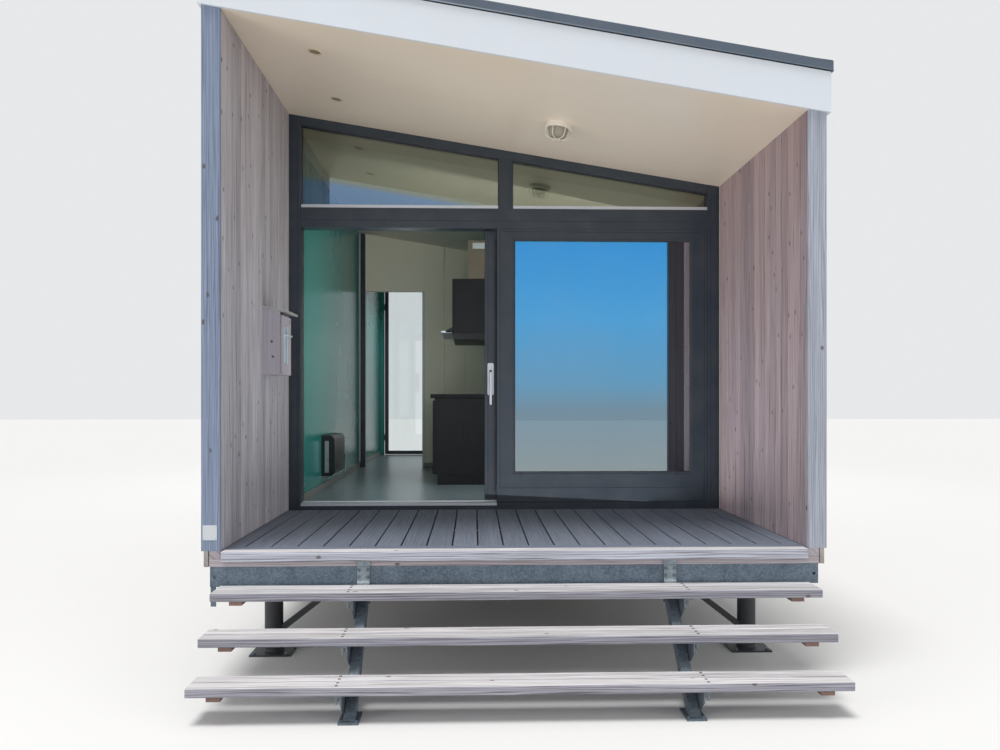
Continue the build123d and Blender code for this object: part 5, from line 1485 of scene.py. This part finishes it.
@dataclass
class SlidingLeaf(SubAssembly):
    """The glazed leaf that slides behind the fixed pane, with its plate and lever."""

    strip_x: float = 1.381
    strip_width: float = 0.020

    def build(self) -> None:
        """Make the sash, its seals, the strip on its far stile and the handle."""
        leaf, glass = Extent.of("sliding_door"), Extent.of("sliding_door_glass")
        sash = Extent(leaf.x0, leaf.x1, leaf.y0, leaf.y1, leaf.z0 + 0.0057, leaf.z1)
        shoes = [block((x - 0.045, -1.8985, leaf.z0), (x + 0.045, -1.8925, sash.z0 + 0.01), 0.001) for x in (leaf.x0 + 0.15, leaf.x1 - 0.15)]
        self.add("sliding_sash", [sash_frame(sash, glass), *shoes], ANTHRACITE, Body.SLIDING_LEAF, ["sliding_door"])
        self.dress(LEAF_GLASS, "sliding_door_glass")
        self.add("sliding_sash_gaskets", gaskets(sash, glass), GASKET, Body.SLIDING_LEAF)
        strip = block((self.strip_x, leaf.y0 - 0.0025, leaf.z0 + 0.05), (self.strip_x + self.strip_width, leaf.y0 + 0.001, leaf.z1 - 0.03), 0.0012)
        self.add("sliding_sash_strip", strip, ALUMINIUM, Body.SLIDING_LEAF)
        marks = [(self.strip_x + self.strip_width / 2, leaf.y0 - 0.0024, z) for z in np.arange(leaf.z0 + 0.12, leaf.z1 - 0.05, 0.16)]
        self.add("sliding_strip_screws", screw_head(-Y, 0.0032, 0.001, 8).placed(marks), GASKET, Body.SLIDING_LEAF)
        self.build_handle()

    def build_handle(self) -> None:
        """Make a slotted plate, a pivot and a lever that tapers along a bent line.

        The lever's section is a rounded bar, scaled by a share of its own at each bend.
        """
        box = Extent.of("sliding_door_handle")
        middle = (box.x0 + box.x1) / 2
        low, face = box.z1 - 0.248, box.y1
        plate = rounded(box.x1 - box.x0, 0.248, 0.012)
        outline = shifted(plate, box.x0, low)
        path = [(0, face, 0), (0, face - 0.0065, 0), (0, face - 0.008, 0)]
        shell = carried(outline, path, X, Z)
        centre = np.array([middle, 0, low + 0.124])
        last = shell.points[-len(outline):]
        shell.points[-len(outline):] = last + (centre - last) * (0.06, 0, 0.012)
        recess = carried(shifted(rounded(0.022, 0.15, 0.0105), middle - 0.011, low + 0.045), [(0, face - 0.007, 0), (0, face - 0.0086, 0)], X, Z)
        pivot = turned([(0.0115, 0.0), (0.0115, 0.030), (0.010, 0.033)], (middle, face - 0.007, low + 0.165), -Y, 28)
        bend = np.array([(middle, face - 0.034, low + 0.178), (middle, face - 0.036, low + 0.160), (middle, face - 0.038, low + 0.10), (middle, face - 0.039, low + 0.02), (middle, face - 0.039, low - 0.045), (middle, face - 0.037, low - 0.072), (middle, face - 0.033, box.z0 + 0.001)])
        section = shifted(rounded(0.022, 0.013, 0.005), -0.011, -0.0065)
        lever = carried(section, bend, X, Y)
        size = len(section)
        share = np.repeat(np.array([0.75, 1.0, 0.98, 0.94, 0.9, 0.8, 0.45]), size)[:, None]
        axis = np.repeat(bend, size, axis=0)
        lever.points = axis + (lever.points - axis) * share
        self.add("sliding_handle_plate", shell, ALUMINIUM, Body.SLIDING_LEAF, ["sliding_door_handle"])
        self.add("sliding_handle_recess", recess, GASKET, Body.SLIDING_LEAF)
        self.add("sliding_handle_lever", [pivot, lever], ALUMINIUM, Body.SLIDING_LEAF)


@dataclass
class RearDoor(SubAssembly):
    """The glazed door at the back, with its frame, hinges and levers."""

    hinge_heights: tuple[float, ...] = (0.995, 2.945)

    def build(self) -> None:
        """Make the leaf, dress its frame and levers, and cover the jamb with a teal strip."""
        leaf, glass = Extent.of("rear_door"), Extent.of("rear_door_glass")
        sash = Extent(glass.x0 - 0.0503, glass.x1 + 0.0503, leaf.y0, glass.y1 + (glass.y0 - leaf.y0), glass.z0 - 0.0503, glass.z1 + 0.0503)
        self.add("rear_leaf_frame", sash_frame(sash, glass), ANTHRACITE, Body.REAR_LEAF, ["rear_door"])
        self.add("rear_leaf_gaskets", gaskets(sash, glass), GASKET, Body.REAR_LEAF)
        self.dress(CLEAR_GLASS, "rear_door_glass")
        self.dress(ANTHRACITE, "rear_door_frame")
        self.dress(STAINLESS, "rear_door_handles")
        knuckle = [(0.0076, -0.025), (0.008, -0.024), (0.008, 0.024), (0.0076, 0.025), (0.004, 0.027)]
        y = leaf.y1 - 0.008
        places = [(leaf.x0 + 0.008, y, z) for z in self.hinge_heights]
        pins = turned(knuckle, (0, 0, 0), Z, 20).placed(places)
        wings = [block((leaf.x0 + 0.006, sash.y1 - 0.001, z - 0.024), (leaf.x0 + 0.05, sash.y1 + 0.003, z + 0.024), 0.001) for z in self.hinge_heights]
        self.add("rear_leaf_hinges", [pins, *wings], STAINLESS, Body.REAR_LEAF)
        jamb = Extent.of("rear_door_frame")
        self.add("rear_jamb_strip", block((jamb.x0 + 0.013, jamb.y0 - 0.010, 0.765), (jamb.x0 + 0.060, jamb.y0 + 0.001, 3.30), 0.002), TEAL)


@dataclass
class Cupboard(SubAssembly):
    """Small larch cupboard on the left wing wall, with a board roof and a lock lever."""

    board: float = 0.015

    def build(self) -> None:
        """Make the case and the roof, two door boards with a batten look, and the lock."""
        case, door = Extent.of("wall_cupboard"), Extent.of("cupboard_door")
        top = door.z1 + 0.005
        high, low = case.z1 - self.board - 0.0015, case.z1 - self.board - 0.0415
        face = door.x0 - 0.001
        fall = (high - low) * (face - case.x0) / (case.x1 - case.x0)
        side = [(case.x0, case.z0), (face, case.z0), (face, high - fall), (case.x0, high)]
        parts = [
            carried(np.array(side), [(0, door.y0 - 0.0145, 0), (0, door.y0 - 0.0005, 0)], X, Z, tone=0.3),
            carried(np.array(side), [(0, door.y1 + 0.0035, 0), (0, case.y1, 0)], X, Z, tone=0.6),
            block((case.x0, door.y0, case.z0), (door.x0 - 0.001, door.y1, case.z0 + self.board), 0.002, 0.5),
            block((case.x0, door.y0, case.z0 + self.board), (case.x0 + self.board, door.y1, top), 0.002, 0.2),
        ]
        roof = rounded(case.y1 - case.y0, self.board, 0.002)
        path = [(case.x0 + 0.001, case.y0, case.z1 - self.board - 0.001), (case.x1, case.y0, case.z1 - self.board - 0.041)]
        self.add("cupboard_case", parts, CUPBOARD_WOOD, replaces=["wall_cupboard"])
        self.add("cupboard_roof", carried(roof, path, Y, Z, tone=0.4), CUPBOARD_ROOF)
        middle = (door.y0 + door.y1) / 2
        leaves = [
            block((door.x0, door.y0 + 0.001, door.z0), (door.x0 + 0.018, middle - 0.001, door.z1), 0.002, 0.35),
            block((door.x0, middle + 0.001, door.z0), (door.x0 + 0.018, door.y1, door.z1), 0.002, 0.65),
        ]
        self.add("cupboard_leaf_boards", leaves, CUPBOARD_WOOD, Body.CUPBOARD_LEAF, ["cupboard_door"])
        near = door.y0 - 0.0145
        marks = [(case.x0 + 0.065, near, case.z0 + 0.219), (case.x0 + 0.073, near, case.z0 + 0.119)]
        self.add("cupboard_side_screws", screw_head(-Y, 0.009, 0.001, 12).placed(marks), INNER_STEEL)
        lock = Extent.of("cupboard_lock")
        across = (lock.y0 + lock.y1) / 2
        cover = block((door.x1 - 0.001, across - 0.015, lock.z0), (door.x1 + 0.007, across + 0.015, lock.z1), 0.003)
        self.add("cupboard_lock_cover", cover, LOCK_PAINTED_SUNLIT, Body.CUPBOARD_LEAF)
        self.dress(LOCK_PAINTED_SUNLIT, "cupboard_lock")


@dataclass
class Lamps(SubAssembly):
    """Round bulkhead lamp with a cage, and two recessed spots."""

    cage_radius: float = 0.083
    bar: float = 0.003

    def build(self) -> None:
        """Turn the lamp's base and glass, and bend three bars over it.

        The lamp is drawn round a centre on the soffit, with h measured down along its normal.
        """
        box = Extent.of("bulkhead_lamp")
        x, y = 0.33, box.middle[1]
        centre = np.array([x, y, float(SLOPE.at(x))])
        down = np.array([-SLOPE.fall, 0.0, -1.0])
        down /= np.linalg.norm(down)
        base = [
            (0.090, -0.0005), (0.0915, 0.001), (0.0915, 0.015), (0.0905, 0.016), (0.0905, 0.018), (0.0935, 0.019), (0.0935, 0.027),
            (0.0915, 0.0305), (0.086, 0.032), (0.074, 0.0315), (0.0725, 0.026), (0.066, 0.024), (0.030, 0.023),
        ]
        self.add("lamp_base", turned(base, centre, down, 56), LAMP_WHITE, replaces=["bulkhead_lamp"])
        angle = np.linspace(0, math.pi / 2, 12)
        dome = np.stack([0.066 * np.cos(angle) ** 0.4 + 0.0005, 0.026 + 0.062 * np.sin(angle) ** 0.8], 1)
        self.add("lamp_glass_dome", turned(dome, centre, down, 48), LAMP_GLASS, replaces=["bulkhead_lamp_glass"])
        side = np.cross(down, Y)
        bars = []
        for turn in np.radians((0, 60, 120)):
            out = math.cos(turn) * side + math.sin(turn) * Y
            angle = np.linspace(0, math.pi, 33)
            along = np.cos(angle)
            across = self.cage_radius * np.sign(along) * np.abs(along) ** 0.45
            height = 0.020 + 0.078 * np.maximum(np.sin(angle), 0) ** 0.45
            path = centre + across[:, None] * out + height[:, None] * down
            bars.append(tube(path, self.bar, np.cross(out, down), 8))
        self.add("lamp_cage", bars, LAMP_WHITE, smooth=50.0)
        spots = Extent.of("soffit_spots")
        middle_x = (spots.x0 + spots.x1) / 2
        rim = [(0.0438, -0.0005), (0.0435, 0.0025), (0.041, 0.0038), (0.035, 0.0030), (0.032, -0.0005)]
        lens = [(0.0325, -0.0005), (0.032, 0.0012), (0.018, 0.0016)]
        centres = [np.array([middle_x, y, float(SLOPE.at(middle_x))]) for y in (spots.y0 + 0.044, spots.y1 - 0.044)]
        self.add("spot_rims", [turned(rim, c, down, 40, ring=True) for c in centres], BEIGE_RIM, replaces=["soffit_spots"])
        self.add("spot_lenses", [turned(lens, c, down, 32) for c in centres], SPOT_LENS)


@dataclass
class Rooms(SubAssembly):
    """What the open door shows: lining, skirting, partition, kitchen, hood and heater."""

    plank: float = 0.248
    skirting: float = 0.055

    def build(self) -> None:
        """Line the rooms and build the fitted pieces."""
        self.dress(FLOOR, "floor_finish")
        self.dress(ANTHRACITE, "partition_post")
        post = Extent.of("partition_post")
        strip = block((post.x0, post.y0 - 0.006, post.z0 + 0.06), (post.x0 + 0.012, post.y0 - 0.0004, post.z1), 0.001)
        self.add("post_edge_strip", strip, PALE_TRIM)
        self.dress(CREAM_WALL, "partition_over_passage")
        self.dress(BACKSPLASH, "kitchen_wall")
        self.build_walls()
        self.build_kitchen()
        self.build_heater()

    def build_walls(self) -> None:
        """Lay the teal sheets and the partition's planks, with skirting and the passage's jamb."""
        lining, wall, floor = Extent.of("left_wall_lining"), Extent.of("partition"), Extent.of("floor_finish")
        drop = float(SLOPE.at(wall.x0)) - wall.z1
        ys = np.linspace(lining.y0, lining.y1, 6)
        starts = np.stack([np.full(5, lining.x0), ys[:-1], np.full(5, lining.z0)], 1)
        height = float(SLOPE.at(lining.x0)) - drop - lining.z0
        sheets = boards(starts, height, ys[1] - ys[0] - 0.001, lining.x1 - lining.x0, Z, Y, X, 0.0012, 151, SLOPE.fall)
        self.add("teal_sheets", sheets, TEAL, replaces=["left_wall_lining"])
        number = round((wall.x1 - wall.x0) / self.plank)
        pitch = (wall.x1 - wall.x0) / number
        xs = wall.x0 + pitch * np.arange(number)
        starts = np.stack([xs, np.full(number, wall.y0), np.full(number, wall.z0)], 1)
        planks = boards(starts, SLOPE.at(xs) - drop - wall.z0, pitch - 0.0006, wall.y1 - wall.y0, Z, X, Y, 0.0025, 161, SLOPE.fall)
        self.add("partition_planks", planks, CREAM_WALL, replaces=["partition"])
        z0, z1 = floor.z1, floor.z1 + self.skirting
        runs = [block((lining.x1, lining.y0, z0), (lining.x1 + 0.012, wall.y0, z1), 0.002), block((wall.x0, wall.y0 - 0.012, z0), (-0.66, wall.y0, z1), 0.002)]
        runs += [block((0.01, wall.y0 - 0.012, z0), (wall.x1, wall.y0, z1), 0.002), block((lining.x1, wall.y1, z0), (lining.x1 + 0.012, lining.y1, z1), 0.002)]
        self.add("skirting_boards", runs, SKIRTING)
        jamb = block((wall.x0 - 0.022, wall.y0 - 0.008, z0), (wall.x0 + 0.008, wall.y1 + 0.008, 2.9), 0.002)
        self.add("passage_jamb", jamb, PALE_TRIM)

    def build_kitchen(self) -> None:
        """Make the base unit with its doors and worktop, and the wall cabinet with its duct."""
        base, cabinet = Extent.of("kitchen_base"), Extent.of("wall_cabinet")
        top = base.z1 - 0.038
        carcass = block((base.x0 + 0.041, base.y0 + 0.02, base.z0 + 0.1), (base.x1, base.y1, top - 0.001), 0.002)
        toe = block((base.x0 + 0.07, base.y0 + 0.03, base.z0), (base.x1, base.y1, base.z0 + 0.102), 0.002)
        ys = np.linspace(base.y0 + 0.02, base.y1, 5)
        starts = np.stack([np.full(4, base.x0 + 0.021), ys[:-1] + 0.0015, np.full(4, base.z0 + 0.102)], 1)
        doors = boards(starts, top - base.z0 - 0.125, ys[1] - ys[0] - 0.003, 0.019, Z, Y, X, 0.0015, 171)
        self.add("kitchen_base_case", [carcass, toe, doors], REEDED, replaces=["kitchen_base"])
        slab = block((base.x0, base.y0, top), (base.x1, base.y1, base.z1), 0.003)
        self.add("kitchen_worktop", slab, WORKTOP)
        grips = [block((base.x0 + 0.008, y + 0.12, top - 0.060), (base.x0 + 0.022, y + 0.26, top - 0.048), 0.003) for y in ys[:-1]]
        self.add("kitchen_grips", grips, STAINLESS)
        low, high = cabinet.z0 + 0.079, cabinet.z0 + 0.6
        hood = Extent.of("cooker_hood")
        body = block((cabinet.x0 + 0.010, cabinet.y0 + 0.004, low - 0.063), (cabinet.x1, hood.y1, low - 0.0006), 0.002)
        nose = low + 0.002
        wedge = [(cabinet.x0 - 0.0006, nose + 0.002), (hood.x0 + 0.045, nose + 0.002), (hood.x0 + 0.045, nose + 0.021), (cabinet.x0 - 0.0006, hood.z1 - 0.001)]
        visor = carried(np.array(wedge)[::-1], [(0, hood.y0, 0), (0, hood.y1, 0)], X, Z)
        self.add("hood_body", [body, visor], HEATER_BLACK, replaces=["cooker_hood"])
        lip = block((hood.x0, hood.y0, nose - 0.001), (cabinet.x0 - 0.0006, hood.y1, nose + 0.019), 0.002)
        self.add("hood_lip", lip, ALUMINIUM)
        case = block((cabinet.x0 + 0.020, cabinet.y0, low), (cabinet.x1, cabinet.y1, high), 0.002)
        middle = (cabinet.y0 + cabinet.y1) / 2
        fronts = [block((cabinet.x0, a, low + 0.001), (cabinet.x0 + 0.019, b, high - 0.001), 0.0015) for a, b in ((cabinet.y0, middle - 0.0015), (middle + 0.0015, cabinet.y1))]
        self.add("wall_cabinet_case", [case, *fronts], REEDED, replaces=["wall_cabinet"])
        duct = block((cabinet.x1 - 0.25, cabinet.y0 + 0.002, high), (cabinet.x1, cabinet.y0 + 0.3, cabinet.z1), 0.002)
        self.add("duct_casing", duct, DUCT)
        vent = block((cabinet.x1 - 0.205, cabinet.y0 - 0.006, cabinet.z1 - 0.082), (cabinet.x1 - 0.06, cabinet.y0 + 0.12, cabinet.z1 - 0.024), 0.003)
        self.add("duct_vent", vent, BACKSPLASH)

    def build_heater(self) -> None:
        """Dress the heater and add its end strip and the slats of its outlet."""
        self.dress(HEATER_BLACK, "wall_heater")
        box = Extent.of("wall_heater")
        strip = block((box.x0 + 0.03, box.y0 - 0.0005, box.z0 + 0.03), (box.x0 + 0.068, box.y0 + 0.002, box.z1 - 0.05), 0.0008)
        slats = [block((box.x0 + 0.02 + 0.013 * index, box.y0 + 0.03, box.z1 - 0.004), (box.x0 + 0.026 + 0.013 * index, box.y1 - 0.03, box.z1 - 0.0005), 0.0008) for index in range(4)]
        self.add("heater_trim", [strip, *slats], STAINLESS)


@dataclass
class NumberPlate(SubAssembly):
    """Small bare plate at the foot of the left end plank, held by four screws."""

    width: float = 0.078
    height: float = 0.082
    centre_x: float = -1.7005
    bottom: float = 0.806

    def build(self) -> None:
        """Carry a rounded outline through the plate's thickness and add its screws."""
        face = Extent.of("wing_wall_left").y0
        outline = shifted(rounded(self.width, self.height, 0.003), self.centre_x - self.width / 2, self.bottom)
        path = [(0, face + 0.001, 0), (0, face - 0.0028, 0)]
        self.add("number_plate", carried(outline, path, X, Z), PLATE)
        places = [(self.centre_x + dx, face - 0.0027, self.bottom + dz) for dx in (-0.032, 0.032) for dz in (0.008, self.height - 0.008)]
        self.add("number_plate_screws", screw_head(-Y, 0.0026, 0.001, 10).placed(places), STAINLESS)


@dataclass
class Studio:
    """Pale floor and backdrop, soft lamps and the camera of the photograph."""

    camera_place: tuple[float, float, float] = (-0.2453, -8.476, 1.5823)
    camera_turn: float = -1.784
    lens: float = 30.6
    shift: float = 0.0246
    world: Colour = (0.80, 0.81, 0.825)

    def build(self) -> None:
        """Set the camera, the world, the lamps and the floor."""
        scene = bpy.context.scene
        camera = bpy.data.cameras.new("camera")
        camera.lens, camera.sensor_width, camera.shift_y = self.lens, 36.0, self.shift
        seen = bpy.data.objects.new("camera", camera)
        seen.location = self.camera_place
        seen.rotation_euler = (math.pi / 2, 0.0, math.radians(self.camera_turn))
        scene.collection.objects.link(seen)
        scene.camera = seen
        scene.view_settings.view_transform = "Standard"
        self.build_world(scene)
        self.sun("key_sun", (-0.14, -0.24, 0.96), 22.0, 1.95)
        self.lamp("left_fill", (-9.0, -8.8, 2.4), (1.4, -2.8, 2.2), 4.0, 74.0, 90.0)
        self.lamp("right_fill", (9.0, -8.8, 2.4), (-1.4, -2.8, 2.2), 4.0, 50.0, 90.0)
        self.lamp("ground_glow", (0.0, -13.0, 0.3), (0.0, -2.6, 3.3), 5.0, 19.0, 90.0)
        self.lamp("rear_fill", (1.0, 17.0, 6.0), (0.0, 3.0, 1.5), 8.0, 130.0, 90.0)
        self.lamp("deck_glow", (0.2, -2.6, 0.9), (0.3, -2.4, 3.0), 1.9, 21.0)
        self.lamp("day_lamp", (0.1, -1.65, 2.3), (-0.5, 2.0, 1.9), 2.0, 28.0)
        self.lamp("back_room_lamp", (-0.7, 3.1, 2.9), (-0.7, 3.1, 0.0), 1.2, 12.0)
        floor = bpy.data.meshes.new("studio_floor")
        floor.from_pydata([(-60, -60, 0), (60, -60, 0), (60, 60, 0), (-60, 60, 0)], [], [(0, 1, 2, 3)])
        piece = bpy.data.objects.new("studio_floor", floor)
        scene.collection.objects.link(piece)
        floor.materials.append(STAGE.material())

    def build_world(self, scene: bpy.types.Scene) -> None:
        """Show a pale backdrop to the camera, glossy and transmitted rays, and dimmer light elsewhere."""
        world = bpy.data.worlds.new("studio")
        world.use_nodes = True
        tree = world.node_tree
        tree.nodes.clear()
        path = tree.nodes.new("ShaderNodeLightPath")
        seen = tree.nodes.new("ShaderNodeMath")
        seen.operation = "MAXIMUM"
        either = tree.nodes.new("ShaderNodeMath")
        either.operation = "MAXIMUM"
        tree.links.new(path.outputs["Is Camera Ray"], seen.inputs[0])
        tree.links.new(path.outputs["Is Glossy Ray"], seen.inputs[1])
        tree.links.new(seen.outputs[0], either.inputs[0])
        tree.links.new(path.outputs["Is Transmission Ray"], either.inputs[1])
        strength = tree.nodes.new("ShaderNodeMath")
        strength.operation = "MULTIPLY_ADD"
        tree.links.new(either.outputs[0], strength.inputs[0])
        strength.inputs[1].default_value = 0.46
        strength.inputs[2].default_value = 0.54
        background = tree.nodes.new("ShaderNodeBackground")
        background.inputs["Color"].default_value = (*self.world, 1.0)
        tree.links.new(strength.outputs[0], background.inputs["Strength"])
        output = tree.nodes.new("ShaderNodeOutputWorld")
        tree.links.new(background.outputs[0], output.inputs["Surface"])
        scene.world = world

    def hang(self, name: str, light: bpy.types.Light, place: Array, away: Array) -> bpy.types.Object:
        """Put a light at a place so that it shines against the direction away.

        Args:
            name: Name of the light.
            light: The light's data.
            place: Where it hangs.
            away: Direction from its target to it.

        Returns:
            The light's object.
        """
        hung = bpy.data.objects.new(name, light)
        hung.location = place
        turn = math.atan2(away[1], away[0]) + math.pi / 2
        tilt = math.atan2(math.hypot(away[0], away[1]), away[2])
        hung.rotation_euler = (tilt, 0.0, turn)
        bpy.context.scene.collection.objects.link(hung)
        return hung

    def sun(self, name: str, away: Sequence[float], spread: float, strength: float) -> None:
        """Add a soft even light from a direction, spread over an angle in degrees."""
        light = bpy.data.lights.new(name, "SUN")
        light.angle, light.energy = math.radians(spread), strength
        self.hang(name, light, np.array((0.0, 0.0, 12.0)), np.asarray(away, float))

    def lamp(
        self, name: str, place: Sequence[float], target: Sequence[float], size: float, power: float, beam: float = 180.0
    ) -> None:
        """Hang a soft square lamp that faces a point and that mirrors don't show.

        Args:
            name: Name of the lamp.
            place: Where it hangs.
            target: The point that it faces.
            size: Length of its side.
            power: Its power in watts.
            beam: Angle of the cone that it lights, in degrees.
        """
        light = bpy.data.lights.new(name, "AREA")
        light.size, light.energy, light.spread = size, power, math.radians(beam)
        start = np.asarray(place, float)
        hung = self.hang(name, light, start, start - np.asarray(target, float))
        hung.visible_camera = hung.visible_glossy = hung.visible_transmission = False


CUPBOARD_WOOD = Larch("cupboard wood", "larch_grey", rgb(204, 200, 212), rgb(156, 152, 164), rgb(176, 164, 164), 0.2, Lie.ALONG_Z, contrast=0.8)
CUPBOARD_ROOF = Larch("cupboard roof board", "larch_grey", rgb(196, 200, 198), rgb(140, 142, 140), rgb(168, 158, 150), 0.1)
# painted reflection: the tints by height put the sky's blue low in the lights and a warm soffit grey above
UPPER_GLASS = Pane("upper window glass", "window_glass", rgb(178, 184, 168), 0.3, painted_sky_tints=((2.7, rgb(146, 182, 224)), (3.01, rgb(150, 184, 222)), (3.05, rgb(178, 184, 168)), (3.8, rgb(178, 184, 168))), fall=0.16)
LEAF_GLASS = replace(GLASS, label="sliding leaf glass", end=9.0)
CLEAR_GLASS = Pane("clear window glass", "window_glass", rgb(232, 240, 240), 0.04)
BEIGE_RIM = Paint("spot rim", "lamp_white", rgb(216, 202, 172), 0.35, 0.1, 9.0)
SPOT_LENS = Paint("spot lens", "lamp_white", rgb(150, 134, 106), 0.25, 0.2, 20.0)
STAGE = StageFloor("studio floor", "")


def main() -> None:
    """Build the hut's sub-assemblies in order, then the studio round it."""
    logging.basicConfig(level=logging.INFO, format="%(name)s: %(message)s")
    parts = [Chassis(), Trestles(), Stairs(), Deck(), BoardWalls(), Roof(), GlazedFront(), SlidingLeaf(), RearDoor()]
    parts += [Cupboard(), Lamps(), Rooms(), NumberPlate()]
    for part in parts:
        part.build()
        for name in part.made:
            LOG.info("%s: %s", type(part).__name__, name)
    Studio().build()


if __name__ == "__main__":
    main()
